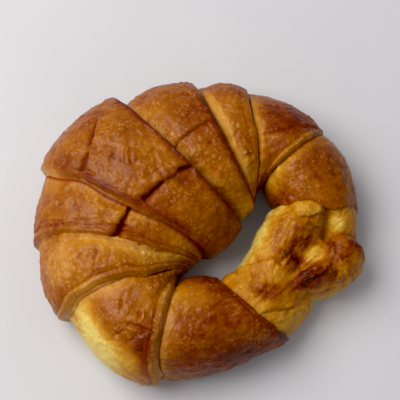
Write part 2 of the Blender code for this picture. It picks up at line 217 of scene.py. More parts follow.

# A crease seen from above: groove depth and width, the step between its left
# and right sides, the distance in which that step fades, painted shade in its groove
# (a painted highlight on the crest where negative), and how wide the far end is for a width of 1 at the
# start.
Crease = namedtuple("Crease", "path depth width step fade shade taper", defaults=(1.0,))
CREASES = {
    "belly_band": (
        Crease(((-22.8, 6.2), (-18.2, 11.1), (-14.1, 14.8)), 2.4, 2.3, 2.6, 5.0, 1.8, 0.3),
        Crease(((-14.1, 14.8), (-11.6, 15.8), (-8.9, 18.3)), 0.6, 0.6, 2.0, 5.0, 0.6),
        Crease(((-8.9, 18.3), (-6.4, 20.2), (-2.6, 21.3)), 1.5, 1.1, 2.0, 5.0, 1.8, 0.7),
        Crease(((-48.8, 19.8), (-46.1, 27.8)), 2.2, 1.5, -2.2, 5.0, 2.0, 0.6),
        Crease(((-45.0, 31.0), (-44.5, 36.0), (-42.8, 43.6)), 2.0, 1.2, -1.8, 5.0, 2.0, 0.8),
        # raised wrinkles, their crests painted pale as highlights
        Crease(((-30.2, 28.6), (-29.6, 24.4), (-28.9, 20.4)), -0.85, 1.0, 0.5, 2.0, -0.42),
        Crease(((-27.4, 26.8), (-26.2, 22.0)), -0.70, 0.8, 0.4, 2.0, -0.38),
        Crease(((-22.2, 21.0), (-23.2, 17.8), (-22.9, 14.7)), -0.80, 1.0, 0.5, 2.0, -0.42),
        Crease(((-32.5, 35.6), (-34.1, 32.8)), -0.65, 0.8, 0.4, 2.0, -0.38),
        Crease(((-18.3, 27.0), (-16.8, 24.0)), -0.40, 0.9, 0.2, 2.0, -0.25),
        Crease(((-36.2, 27.0), (-37.8, 23.5)), -0.40, 0.9, 0.2, 2.0, -0.25),
        Crease(((-25.0, 35.6), (-22.6, 33.4)), -0.40, 0.8, 0.2, 2.0, -0.25),
    ),
    "upper_band_1": (
        Crease(((-10.6, 29.4), (-8.5, 33.0), (-4.1, 36.3), (3.4, 41.2)), 0.5, 0.5, 1.4, 5.0, 0.7),
    ),
    "upper_band_2": (
        Crease(((9.2, 48.9), (14.1, 48.2), (19.3, 48.2)), 0.4, 0.4, 0.3, 3.0, 0.4),
    ),
    "upper_band_3": (
        Crease(((26.3, 37.0), (34.3, 38.9), (42.3, 41.8), (50.3, 43.0)), 0.6, 0.5, 0.9, 4.0, 0.8),
    ),
    "lower_band_1": (
        Crease(((-35.2, -8.8), (-33.2, -5.4), (-31.6, -2.4)), 2.6, 2.3, 2.6, 5.0, 2.1, 0.6),
        Crease(((-31.8, -2.8), (-28.2, 5.7)), 1.6, 1.4, 2.2, 5.0, 1.4, 0.5),
    ),
    "lower_band_2": (
        Crease(((-41.6, -12.4), (-42.3, -16.8), (-42.9, -23.1)), 0.6, 0.5, 0.3, 3.0, 0.6),
        Crease(((-35.9, -12.8), (-36.5, -17.8)), 0.4, 0.6, 0.2, 3.0, 0.3),
        Crease(((-48.2, -13.4), (-49.8, -16.2)), 0.45, 0.5, 0.1, 2.0, 0.6),
        Crease(((-49.0, -18.6), (-50.6, -21.0)), 0.45, 0.5, 0.1, 2.0, 0.6),
        Crease(((-45.4, -16.9), (-43.6, -19.2)), 0.40, 0.45, 0.1, 2.0, 0.5),
    ),
    "lower_band_3": (
        Crease(((-25.0, -23.0), (-20.1, -21.4), (-16.1, -20.0), (-11.3, -17.3)), 1.2, 0.8, 0.0, 3.0, 1.5),
        Crease(((-31.8, -32.2), (-31.4, -36.8)), 0.8, 0.7, 0.5, 3.0, 0.8),
        Crease(((-30.0, -33.5), (-26.9, -35.3), (-24.3, -38.3)), 0.45, 0.6, 0.4, 3.0, 0.4),
        Crease(((-29.4, -42.0), (-24.9, -43.4), (-20.8, -45.2)), 0.9, 0.7, 0.9, 3.0, 0.8),
        Crease(((-29.0, -44.6), (-25.0, -44.9), (-21.2, -46.9)), -0.5, 0.7, 0.2, 2.0, -0.5),
        Crease(((-24.6, -37.4), (-24.3, -40.6)), 0.8, 0.7, 0.5, 2.0, 0.7),
        Crease(((-23.0, -37.6), (-22.8, -41.4)), -0.5, 0.6, 0.2, 2.0, -0.6),
        Crease(((-29.4, -35.4), (-28.5, -38.0)), -0.45, 0.8, 0.2, 2.0, -0.4),
        Crease(((-35.6, -44.4), (-33.2, -45.9), (-30.6, -44.8)), 0.45, 0.5, 0.5, 3.0, 0.6),
        Crease(((-35.0, -41.8), (-31.6, -41.9)), -0.55, 1.6, 0.2, 3.0, 0.0),
    ),
    KNOT_NAME: (
        Crease(((41.8, 2.9), (47.4, 3.3), (52.5, 6.4)), 0.7, 0.6, 0.4, 4.0, 0.5),
        Crease(((17.0, -15.3), (23.5, -13.6), (30.8, -13.4), (34.5, -16.2)), 0.8, 0.7, -0.9, 4.0, 0.4),
        Crease(((25.8, -36.3), (30.5, -34.6), (37.2, -33.8), (39.7, -32.1)), 0.7, 0.8, 0.6, 4.0, 0.5),
        Crease(((54.2, -3.8), (57.2, -2.2), (60.1, -2.0), (63.4, -2.5), (66.5, -3.6)),
               0.6, 0.7, -1.6, 4.0, 0.6),
        Crease(((41.0, -24.5), (50.0, -24.0), (60.0, -21.5)), 0.5, 0.7, 0.5, 4.0, 0.3),
        Crease(((38.2, -22.2), (41.6, -19.6), (46.0, -17.8), (50.6, -16.4)), -0.55, 0.7, 0.4, 2.0, -0.5),
        Crease(((38.6, -23.8), (42.4, -20.9), (47.4, -18.9), (51.0, -18.0)), 0.55, 0.6, 0.4, 2.0, 0.5),
        Crease(((39.2, -26.0), (42.6, -23.4), (45.6, -22.9), (48.6, -21.0)), 0.60, 0.6, 0.5, 2.0, 0.6),
        Crease(((40.6, -24.3), (44.0, -22.0), (47.8, -20.4)), -0.45, 0.7, 0.3, 2.0, -0.2),
        Crease(((40.4, -27.4), (43.8, -25.6), (46.8, -25.4)), -0.45, 0.6, 0.3, 2.0, -0.5),
        Crease(((43.4, -18.0), (45.2, -20.2), (45.6, -23.6)), 0.35, 0.5, 0.3, 2.0, 0.3),
    ),
}
CREASE_FACING = (0.1, 0.35)     # upward parts of the normal between which a crease comes in
CREASE_ENDS = (-0.6, 1.2)       # distances from its ends over which it comes in
CREASE_REACH = 6.0              # it stops at this many times the distance of its fade
CREASE_SEED, CREASE_WAVER = 31, ((8.0, 0.32), (2.6, 0.10))
CREASE_SHADE_WIDTH = 0.9

# ----------------------------------------------------------------- the crust
# How well the bands and the knot are baked, from 0 for pale to 1 for burnt.
BAND_BAKE = (0.65, 0.64, 0.64, 0.64, 0.63, 0.60, 0.585, 0.63, 0.73)
KNOT_BAKE = 0.47
# Paler or darker places: centre, reach, changes of bake and dryness, and how
# strongly the streaks there are scorched.
Patch = namedtuple("Patch", "at reach change dry scorch", defaults=(0.0, 0.0))
PATCHES = {
    "belly_band": (
        Patch((-51.0, 25.0, 28.0), (14.0, 8.0, 16.0), 0.16),
        Patch((-63.0, 28.0, 20.0), (10.0, 5.0, 18.0), -0.09),
        Patch((13.0, 1.0, 20.0), (12.0, 12.0, 16.0), 0.12),
    ),
    "upper_band_1": (
        Patch((18.0, 13.0, 18.0), (9.0, 10.0, 14.0), -0.31, 0.40),
        Patch((0.0, 40.0, 38.0), (14.0, 18.0, 14.0), 0.08),
    ),
    "upper_band_2": (
        Patch((22.0, 25.0, 24.0), (6.5, 8.0, 11.0), -0.15, 0.32),
    ),
    "upper_band_3": (
        Patch((34.0, 45.0, 30.0), (16.0, 11.0, 16.0), 0.20),
        Patch((27.5, 25.0, 26.0), (8.0, 9.0, 12.0), 0.12),
    ),
    "upper_band_4": (
        Patch((30.0, 23.0, 26.0), (8.0, 10.0, 14.0), -0.16),
        Patch((42.3, 15.4, 32.0), (8.0, 7.0, 10.0), -0.02, 0.14),
        Patch((32.5, 12.0, 26.0), (8.0, 5.0, 12.0), 0.10),
        Patch((51.0, 27.0, 30.0), (14.0, 14.0, 12.0), 0.08),
        Patch((57.0, 21.0, 24.0), (8.0, 9.0, 10.0), 0.08),
    ),
    "lower_band_1": (
        Patch((-20.0, -2.5, 42.0), (9.0, 5.0, 10.0), 0.10),
        Patch((-57.0, -3.0, 34.0), (8.0, 4.5, 10.0), 0.09),
    ),
    "lower_band_2": (
        # the pale patch on the left is partly painted sheen
        Patch((-57.0, -17.5, 31.0), (10.5, 13.5, 16.0), -0.06, 0.62),
        Patch((-20.0, -15.5, 37.0), (9.0, 5.5, 10.0), -0.08, 0.1),
    ),
    "lower_band_3": (
        Patch((-21.0, -49.0, 30.0), (9.0, 14.0, 14.0), 0.12),
        Patch((-20.0, -32.0, 34.0), (9.0, 9.0, 10.0), -0.09, 0.05),
    ),
    "lower_band_4": (
        Patch((13.0, -51.0, 16.0), (26.0, 14.0, 20.0), 0.14),
        Patch((-2.5, -29.0, 36.0), (12.0, 12.0, 12.0), -0.15, 0.28),
        Patch((20.5, -44.5, 22.0), (10.0, 9.0, 12.0), -0.09),
        Patch((33.5, -42.5, 18.0), (8.0, 5.5, 14.0), 0.06, 0.0, 0.45),
    ),
    KNOT_NAME: (
        Patch((22.0, -3.0, 10.0), (13.0, 28.0, 18.0), -0.49),
        Patch((28.0, -2.0, 20.0), (7.0, 17.0, 11.0), -0.17),
        Patch((33.0, 9.5, 20.0), (6.0, 6.0, 10.0), -0.25),
        # the lower limb's end, streaked and scorched towards the valley
        Patch((38.5, -6.5, 27.0), (12.5, 17.0, 12.0), 0.13, 0.0, 0.60),
        Patch((40.6, -11.0, 27.0), (6.5, 8.0, 8.0), 0.07, 0.0, 0.2),
        Patch((37.0, -14.5, 26.0), (7.0, 6.5, 8.0), 0.07, 0.0, 0.3),
        Patch((44.0, 8.0, 32.0), (11.0, 6.5, 8.0), -0.18),
        Patch((35.5, 0.5, 28.0), (6.5, 11.0, 9.0), -0.06),
        # the lower roll
        Patch((28.5, -27.0, 26.0), (8.0, 5.5, 8.0), 0.28, 0.0, 0.25),
        Patch((29.0, -19.0, 26.0), (14.0, 7.0, 10.0), -0.06),
        Patch((33.0, -40.0, 14.0), (18.0, 12.0, 14.0), -0.12),
        Patch((16.0, -27.0, 26.0), (6.0, 6.0, 9.0), -0.10, 0.38),
        Patch((23.5, -35.0, 25.0), (6.5, 6.5, 9.0), -0.10, 0.38),
        # the neck, the claw and its fold, and the valley
        Patch((60.5, 5.0, 16.0), (11.0, 10.0, 18.0), -0.12),
        Patch((56.0, 2.0, 24.0), (6.0, 5.0, 8.0), -0.20),
        Patch((39.6, -24.0, 26.0), (6.5, 5.5, 7.0), 0.20, 0.0, 0.40),
        Patch((43.6, -21.6, 27.0), (8.5, 7.0, 8.0), 0.18, 0.0, 0.40),
        Patch((50.5, -18.0, 28.0), (10.0, 7.0, 8.0), 0.17, 0.0, 0.40),
        Patch((46.5, -23.5, 25.5), (7.5, 4.0, 6.0), 0.16, 0.0, 0.35),
        Patch((53.5, -20.5, 25.0), (7.5, 4.0, 7.0), 0.10, 0.0, 0.30),
        Patch((67.5, -5.5, 19.0), (6.5, 7.5, 13.0), 0.31, 0.05, 0.2),
        Patch((61.0, 11.0, 22.0), (8.0, 3.5, 9.0), 0.16),
        Patch((57.5, -8.5, 25.0), (11.0, 9.0, 9.0), 0.24, 0.12, 0.45),
        Patch((62.0, -18.0, 18.0), (10.0, 9.0, 13.0), -0.05, 0.0, 0.5),
        Patch((47.5, -10.5, 22.0), (7.5, 5.0, 8.0), -0.30),
        Patch((57.0, -25.0, 6.0), (20.0, 12.0, 13.0), -0.16),
    ),
}
PATCH_FADE = 0.6                # share of a patch's reach over which it fades
STRIP_FADE = 24.0               # degrees over which a strip fades at its ends
LIP_BAKE, LIP_REACH = 0.10, 2.2         # a band is darker towards its lip
LEDGE_BAKE, LEDGE_DRY = 0.06, 0.10      # the layers below it less so, and drier
FRONT_BAKE, FRONT_FALL = -0.04, (0.5, 1.8)      # its front is paler, between these falls
TUCK_BAKE, TUCK_DRY, TUCK_REACH = -0.15, 0.3, 5.0       # so is a band where it comes out
TUCK_CHANGE, TUCK_WAVES = 0.5, ((21.0, 0.6), (6.0, 0.4))
SEAM_SHADE, SEAM_WIDTH = 1.2, 0.6       # painted shade where a band comes out from under a lip
FAINT_SEAMS = {6: 0.4, 7: 0.9}          # and the edges where it is fainter
LOW_BAKE, LOW_HEIGHTS = -0.14, (4.0, 20.0)      # walls are paler towards the base
SKIN_APART = 40.0               # keeps the patterns of two bands apart
SKIN_RISE = 0.5                 # what height adds to the knot's pattern

# What the relief's noises and blisters add, in shares of the sizes below.
LUMP_RISE = 3.0
BLISTER_EDGE, BLISTER_RISE = 0.55, 1.8
CLUSTER_SCALE, CLUSTER_FROM, CLUSTER_SHARP = 0.3, 0.42, 5.0
WRINKLE_SCALE, WRINKLE_RISE, HOLLOW_SHARP = 0.5, 3.0, 5.0
BAND_STRETCH, TIP_STRETCH = 0.8, 0.35   # how closely wrinkles follow each other along the limb
TIP_WRINKLES = 1.2

# The crust's colour pattern: the scale, detail and roughness of its noises, and
# how much of them goes into the bake.
Pattern = namedtuple("Pattern", "scale detail rough", defaults=(0.55,))
BROAD, MID, FINE = Pattern(75.0, 3.0), Pattern(300.0, 4.0, 0.6), Pattern(900.0, 2.0)
STREAK, STREAK_DRAWN = Pattern(620.0, 4.0, 0.62), (0.22, 1.0, 1.0)
CLUSTER, FLECK = Pattern(130.0, 2.0), Pattern(850.0, 1.0)
MOTTLE = (0.44, 0.30, 0.24)     # of broad, mid and fine
SCORCH, SCORCH_BASE, SCORCH_BAKE = (1.6, 2.4), 0.30, 0.42       # of streak and mid
# Painted highlight on the blisters' tops and painted shade in the wrinkles' hollows.
BLISTER_HIGHLIGHT, HOLLOW_SHADE = 0.10, 0.08
# Pale flecks, painted as glints on the crust's small bumps, sit in clusters, and fewer on dark crust.
CLUSTER_BASE, CLUSTER_EDGE = 0.05, 8.0
FLECK_FROM, FLECK_EDGE, FLECK_GLINT = 0.08, 9.0, 0.80
FLECK_PALE, FLECK_DARK = 1.6, 1.5
# Drier crust and the painted glints come in with a broken edge, and cracks, seams and grooves are painted
# dark as shade.
DRY_BREAK, DRY_FROM, DRY_EDGE = (1.3, 1.1), 0.35, 2.4           # of mid and fine
DRY_COLOUR, DRY_CHANGE = 0.72, 1.2
# How much painted shade the shade mask puts in cracks, seams and grooves, and where and how strongly the
# darker painted shade at their bottom comes in.
CRACK_SHADE, DEEP_FROM, DEEP_EDGE, DEEP_SHADE = 0.85, 0.85, 1.1, 0.9
ROUGH, ROUGH_MID, ROUGH_DRY, ROUGH_CRACK = 0.40, 0.5, 0.2, 0.3
HEIGHT = (0.6, 0.5, 0.3)        # of fine, mid and flecks
BUMP_STRENGTH, BUMP_DISTANCE = 0.55, 0.0006
COLOUR_STOPS = (0.05, 0.24, 0.42, 0.60, 0.80, 0.99)     # bakes of the colours from pale to burnt
EGG_WASH = {
    "Specular IOR Level": 0.2,
    "Specular Tint": (1.0, 0.84, 0.64, 1.0),
    "Coat Roughness": 0.23,
    "Subsurface Weight": 0.06,
    "Subsurface Scale": 0.002,
    "Subsurface Radius": (1.0, 0.5, 0.2),
}
Finish = namedtuple("Finish", "name mottle streaks coat")
ROLLED_CRUST = Finish("rolled_crust", 0.8, 0.10, 0.14)
TIP_CRUST = Finish("tip_crust", 0.9, 0.35, 0.04)

# The stage, in metres but for the camera's aim and sensor.
FLOOR_HALF, FLOOR_ROUGH = 3.0, 0.6
FLOOR_CLOUDS, FLOOR_DETAIL, FLOOR_TONES = 18.0, 4.0, (0.97, 1.02)
WINDOW_SIZE, WINDOW_TINT = (0.75, 0.6), (1.0, 0.965, 0.91)
WINDOW_PLACE, WINDOW_AIM = np.array([-0.46, 0.19, 0.75]), np.array([0.0, 0.0, 0.02])
ROOM_TINT = (0.93, 0.94, 0.97, 1.0)
CAMERA_AIM = np.array([0.0, 15.0, 14.0])        # in the tables' own places
SENSOR_WIDTH, CLIP_START = 36.0, 0.01
BLACK_LEVEL = (0.009, 0.009, 0.010)


# ---------------------------------------------------------------- properties
def length_property(name, description, default):
    """A size in metres that a user may change."""
    return FloatProperty(name=name, description=description, default=default, unit="LENGTH",
                         precision=5, min=0.0)


def colour_property(name, description, default):
    """A colour as it shows on screen."""
    return FloatVectorProperty(name=name, description=description, default=default,
                               subtype="COLOR_GAMMA", size=3, min=0.0, max=1.0)


class CroissantRelief(bpy.types.PropertyGroup):
    """Sizes of the crust's surface."""
    grain: length_property("Grain", "Distance between the crust's points", 0.00048)
    lump_height: length_property("Lump height", "Unevenness of the whole crust", 0.0007)
    lump_size: length_property("Lump size", "Width of the broad lumps", 0.013)
    blister_height: length_property("Blister height", "Height of the blisters", 0.00065)
    blister_size: length_property("Blister size", "Spacing of the blisters", 0.0024)
    wrinkle_height: length_property("Wrinkle height", "Height of the fine wrinkles", 0.00045)
    wrinkle_size: length_property("Wrinkle size", "Spacing of the fine wrinkles", 0.0016)
    seed: IntProperty(name="Seed", description="Number that fixes every random draw", default=7)


class CroissantColours(bpy.types.PropertyGroup):
    """Crust colours, from unbaked to burnt, and the colours of painted shade in cracks, seams and grooves."""
    pale: colour_property("Pale dough", "Dough shielded from the heat", (0.88, 0.77, 0.40))
    straw: colour_property("Straw", "Lightly baked crust", (0.79, 0.59, 0.19))
    golden: colour_property("Golden", "Golden crust", (0.705, 0.455, 0.10))
    amber: colour_property("Amber", "Well baked crust", (0.59, 0.325, 0.03))
    brown: colour_property("Brown", "Dark crust", (0.44, 0.145, 0.018))
    burnt: colour_property("Burnt", "Scorched spots", (0.24, 0.07, 0.025))
    # The drier tan is also painted as glints on bumps, highlights on raised wrinkles and a sheen.
    dry: colour_property("Dry tan", "Matt crust that the glaze missed", (0.76, 0.54, 0.265))
    # Painted shade in cracks, in grooves and under lips, and darker painted shade at the bottom of the
    # deepest cracks.
    crack_shade: colour_property("Crack", "Inside cracks and under lips", (0.50, 0.16, 0.035))
    deep_shade: colour_property("Deep crack", "Bottom of the deepest cracks", (0.30, 0.095, 0.03))


class CroissantStage(bpy.types.PropertyGroup):
    """Camera, floor and light."""
    elevation: FloatProperty(name="Elevation", description="Camera height above the table",
                             default=math.radians(75.0), subtype="ANGLE")
    distance: length_property("Distance", "From the camera to the croissant", 0.56)
    lens: FloatProperty(name="Lens", description="Focal length in millimetres", default=118.0)
    floor: colour_property("Floor", "Colour of the table", (0.80, 0.80, 0.82))
    window: FloatProperty(name="Window", description="Power of the window light, in watts", default=8.4)
    sky: FloatProperty(name="Sky", description="Strength of the light all round", default=0.40)


# ------------------------------------------------------------------- shaping
def smooth_step(value, low, high):
    """Ease from 0 at low to 1 at high."""
    share = np.clip((value - low) / (high - low), 0.0, 1.0)
    return share * share * (3.0 - 2.0 * share)


def through(rows, at):
    """Read a smooth curve through rows, one row a step, at the places at."""
    rows = np.asarray(rows, float)
    at = np.asarray(at, float)
    slopes = np.gradient(rows, axis=0)
    first = np.clip(np.floor(at).astype(int), 0, len(rows) - 2)
    share = (at - first)[..., None]
    squared, cubed = share ** 2, share ** 3
    return ((2 * cubed - 3 * squared + 1) * rows[first]
            + (cubed - 2 * squared + share) * slopes[first]
            + (3 * squared - 2 * cubed) * rows[first + 1]
            + (cubed - squared) * slopes[first + 1])


def ripple(along, seed, waves):
    """An uneven line: sines of these lengths and heights with seeded phases."""
    draw = np.random.default_rng(seed)
    total = np.zeros_like(along)
    for length, height in waves:
        for stretch in (1.0, 1.31, 1.77):
            phase, weight = draw.uniform(0.0, 2.0 * math.pi), draw.uniform(0.3, 0.8)
            total += weight * height * np.sin(2.0 * math.pi * along / (length * stretch) + phase)
    return total


LIMB_ROWS = [(*edge.hole, *edge.rim, edge.crest, edge.lean) for edge in ROLL_EDGES]


def limb_surface(place, angle):
    """Points of the plain limb, their outward normals and the middles of their sections."""
    rows = through(LIMB_ROWS, place)
    hole, rim, crest, lean = rows[..., 0:2], rows[..., 2:4], rows[..., 4], rows[..., 5]
    cosine, sine = np.cos(angle), np.sin(angle)
    spoke = (rim - hole) / 2.0
    half = np.linalg.norm(spoke, axis=-1)
    power = np.where(sine >= 0.0, ROUND_TOP, ROUND_BASE)
    middle = WIDEST * (crest + FLAT_DEPTH) - FLAT_DEPTH
    reach = np.where(sine >= 0.0, crest - middle, middle + FLAT_DEPTH)
    across = np.sign(cosine) * np.abs(cosine) ** (2.0 / power)
    rise = reach * np.sign(sine) * np.abs(sine) ** (2.0 / power)
    facing = spoke / half[..., None]
    along = np.stack([-facing[..., 1], facing[..., 0]], axis=-1)
    centre = (hole + rim) / 2.0
    points = np.empty(power.shape + (3,))
    points[..., :2] = (centre + across[..., None] * spoke
                       + (lean * np.clip(sine, 0.0, 1.0))[..., None] * along)
    points[..., 2] = middle + rise
    slope = np.stack([across / half, rise / reach ** 2], axis=-1)
    slope /= np.linalg.norm(slope, axis=-1)[..., None]
    normals = np.empty_like(points)
    normals[..., :2] = slope[..., :1] * facing
    normals[..., 2] = slope[..., 1]
    middles = np.empty_like(points)
    middles[..., :2] = centre
    middles[..., 2] = middle
    return points, normals, middles


def girth(surface, grain):
    """Angles evenly spaced round a section, and how far round they are."""
    dense = np.linspace(-0.5 * math.pi, 1.5 * math.pi, GIRTH_STEPS + 1)
    steps = np.linalg.norm(np.diff(surface(dense), axis=0), axis=1)
    weight = np.where(np.sin((dense[1:] + dense[:-1]) / 2.0) > UNDERSIDE, 1.0, UNDERSIDE_SHARE)
    walked = np.concatenate([[0.0], np.cumsum(steps)])
    spread = np.concatenate([[0.0], np.cumsum(steps * weight)])
    even = np.linspace(0.0, spread[-1], int(spread[-1] / grain), endpoint=False)
    return np.interp(even, spread, dense), np.interp(even, spread, walked)


def strayed(edge, angle):
    """How far an edge strays along the limb at an angle round it."""
    sway = ((SWAY_ENDS[0], 0.0), *ROLL_EDGES[edge].sway, (SWAY_ENDS[1], 0.0))
    turns, shifts = np.array(sway, float).T
    degrees = np.clip(np.degrees(angle), turns[0], turns[-1])
    first = np.clip(np.searchsorted(turns, degrees) - 1, 0, len(turns) - 2)
    share = smooth_step(degrees, turns[first], turns[first + 1])
    return shifts[first] + (shifts[first + 1] - shifts[first]) * share


def between(shares, outer):
    """A value that changes from the crest (outer is 0) to the rim (1)."""
    return shares[0] + (shares[1] - shares[0]) * outer


def lip_height(edge, outer):
    """How far a rolled edge stands out."""
    return ROLL_EDGES[edge].lip * between((1.0, RIM_LIPS.get(edge, 1.0)), outer)


def tuck_depth(band, outer):
    """How far in a band starts."""
    return between((TUCK[band], RIM_TUCK[band]), outer)


def band_profile(band, share, outer):
    """How far a band stands out at a share of its width."""
    share = np.clip(share, 0.0, 1.0)
    crown = between((CROWN[band], RIM_CROWN[band]), outer) * 4.0 * share * (1.0 - share)
    if band == BELLY:
        lip_low, lip_high = lip_height(band, outer), lip_height(band + 1, outer)
        return lip_low + (lip_high - lip_low) * share + crown
    outward = 1.0 - share if band < BELLY else share
    lip = lip_height(band if band < BELLY else band + 1, outer)
    tuck = tuck_depth(band, outer)
    rise_share = between(RISE_SHARES, outer)
    rise = (1.0 - SLOPE_SHARE) * smooth_step(outward, 0.0, rise_share) + SLOPE_SHARE * outward
    return -tuck + (tuck + lip) * rise + crown


Column = namedtuple("Column", "inside fall below shade relief", defaults=(0.0, 0.0))


def lip_columns(edge, tuck, arcs, outer, seed):
    """Columns over a lip, from its first layer out, down its front and back under it.

    Each has its distance inside the edge, its fall below the band, whether it is
    below the top layer, its shade and the share of the relief that it shows.
    """
    layers = (*ROLL_EDGES[edge].treads, 0.0)
    last = len(layers) - 1
    widening = between(TREAD_SHARES, outer)
    whole = lip_height(edge, outer) + tuck - CREVICE
    fronts, reach, level = [], sum(layers), 0.0
    for number, tread in enumerate(layers):
        drop = whole - level if number == last else STEP_SHARE * whole / last
        bend = np.minimum(LIP_ROUND, between(LIP_ROUND_SHARES, outer) * drop)
        if number:
            step = layers[number - 1] * widening
            bend = np.minimum(bend, between(TREAD_ROUND_SHARES, outer) * step)
        waver = ripple(arcs, seed + number, LAYER_WAVER) * min(1.0, WAVER_SHARE + WAVER_GROWTH * reach)
        fronts.append((reach * widening + waver, bend, level, drop))
        level += drop
        reach -= tread

    columns = []
    for number, (front, _, top, drop) in enumerate(fronts[:-1]):
        tread = layers[number]
        soft = min(SOFT_STEP, *(SOFT_SHARE * width for width in layers[max(0, number - 1):number + 1]))
        for part in SLOPE_PARTS:
            columns.append(Column(front + soft * (1.0 - 2.0 * part),
                                  top + drop * smooth_step(part, 0.0, 1.0), number > 0))
        start = front - soft
        end = fronts[number + 1][0] + np.maximum(fronts[number + 1][1], soft)
        for part in TREAD_PARTS:
            arch = math.sin(part * math.pi)
            columns.append(Column(start + part * (end - start), top + drop - TREAD_BULGE * tread * arch,
                                  True, relief=TREAD_RELIEF * min(1.0, tread / WIDE_TREAD) * arch))
    front, bend, top, drop = fronts[-1]
    for turn in np.radians(np.linspace(0.0, 90.0, FRONT_COLUMNS)):
        columns.append(Column(front + bend * (1.0 - math.sin(turn)),
                              top + bend * (1.0 - math.cos(turn)), last > 0))
    for number in range(1, WALL_COLUMNS):
        groove = 0.0
        if number in LAYER_LINES:
            change = ripple(arcs, seed + LAYER_LINES[number], LAYER_WAVER)
            groove = np.clip(GROOVE_SHARE + GROOVE_CHANGE * change, 0.0, GROOVE_MOST)
        columns.append(Column(front + LAYER_GROOVE * groove,
                              top + bend + number / WALL_COLUMNS * (drop - bend),
                              last > 0, LAYER_SHADE * groove))
    for back, down in UNDER_LIP:
        columns.append(Column(back, top + drop + down, True))
    return columns


def tuck_columns():
    """Columns that run on under the neighbour, inner first."""
    return [Column(0.0, 0.0, False), *(Column(-on, down, False) for on, down in UNDER_NEIGHBOUR)]


def crease_relief(points, normals, creases):
    """Height and shade that creases seen from above give to these points."""
    height, shade = np.zeros(points.shape[:-1]), np.zeros(points.shape[:-1])
    facing_up = smooth_step(normals[..., 2], *CREASE_FACING)
    for crease in creases:
        corners = np.asarray(crease.path, float)
        lengths = np.linalg.norm(np.diff(corners, axis=0), axis=1)
        walked = np.concatenate([[0.0], np.cumsum(lengths)])
        nearest = np.full(height.shape, FAR)
        side, along = np.zeros_like(height), np.zeros_like(height)
        for start, end, length, before in zip(corners, corners[1:], lengths, walked):
            run = (end - start) / length
            offset = points[..., :2] - start
            ahead = np.clip(offset @ run, 0.0, length)
            distance = np.linalg.norm(offset - ahead[..., None] * run, axis=-1)
            closer = distance < nearest
            nearest = np.where(closer, distance, nearest)
            side = np.where(closer, np.sign(run[0] * offset[..., 1] - run[1] * offset[..., 0]), side)
            along = np.where(closer, before + ahead, along)
        away = side * nearest + ripple(along, CREASE_SEED, CREASE_WAVER)
        end_fade = smooth_step(np.minimum(along, walked[-1] - along), *CREASE_ENDS)
        reach = end_fade * facing_up * (nearest < CREASE_REACH * crease.fade)
        narrowing = 1.0 + (crease.taper - 1.0) * along / walked[-1]
        width = crease.width * narrowing
        step = away / np.sqrt(away ** 2 + (0.5 * width) ** 2) * np.exp(-np.abs(away) / crease.fade)
        groove = np.exp(-(away / width) ** 2)
        height += reach * (0.5 * crease.step * step - crease.depth * narrowing * groove)
        # painted shade in the groove; a negative shade marks a painted highlight on a raised crest
        shade += reach * crease.shade * np.exp(-(away / (CREASE_SHADE_WIDTH * width)) ** 2)
    return height, shade


def patch_change(points, patches):
    """Changes of bake, dryness and scorching that the patches give to these points."""
    change, dry, scorch = (np.zeros(points.shape[:-1]) for _ in range(3))
    for patch in patches:
        far = np.linalg.norm((points - np.array(patch.at)) / np.array(patch.reach), axis=-1)
        share = smooth_step(1.0 - far, 0.0, PATCH_FADE)
        change += patch.change * share
        dry += patch.dry * share
        scorch += patch.scorch * share
    return change, dry, scorch


def strip_change(strips, distances, angles):
    """Changes of bake and dryness that the strips give along a band's edges."""
    degrees = np.degrees(angles)
    change, dry = 0.0, 0.0
    for strip in strips:
        share = smooth_step(np.minimum(degrees - strip.first, strip.last - degrees), 0.0, STRIP_FADE)
        share = share * np.exp(-((distances[strip.edge] - strip.away) / strip.width) ** 2)
        change = change + strip.change * share
        dry = dry + strip.dry * share
    return change, dry


def line_relief(lines, distances, run, seed):
    """Height and shade of the fine lines that follow a band's edges."""
    height, shade = 0.0, 0.0
    for number, line in enumerate(lines):
        strength = LINE_SHARE + ripple(run.arcs, seed + 7 * number, LINE_CHANGE)
        strength = np.clip(strength, 0.0, LINE_MOST)
        away = line.away * run.relief - ripple(run.arcs, seed + 50 + number, LINE_WAVER)
        groove = np.exp(-((distances[line.edge] - away) / line.width) ** 2)
        height = height - line.depth * strength * run.relief * groove
        shade = shade + line.shade * strength * groove
    return height, shade


Run = namedtuple("Run", "band edges angles arcs lines width outer standing relief")


def band_run(band, grain):
    """Where a band runs: its edges as places along the limb, and its width, at each angle."""
    angles, arcs = girth(lambda angle: limb_surface(np.full_like(angle, band + 0.5), angle)[0], grain)
    edges = (band, band + 1)
    low, high = (limb_surface(edge + 0.0 * angles, angles)[0] for edge in edges)
    width = np.maximum(np.linalg.norm(high - low, axis=1), LEAST_WIDTH)
    lines = [edge + strayed(edge, angles) / width for edge in edges]
    standing = smooth_step(np.sin(angles), *STANDING_FROM)
    relief = standing * np.clip(width / FULL_WIDTH, LEAST_SHARE, 1.0)
    return Run(band, edges, angles, arcs, lines, width, np.clip(np.cos(angles), 0.0, 1.0), standing, relief)


def has_lip(band, edge):
    """Whether a band ends in a lip at this edge, and doesn't start under its neighbour."""
    return band <= BELLY if edge == band else band >= BELLY


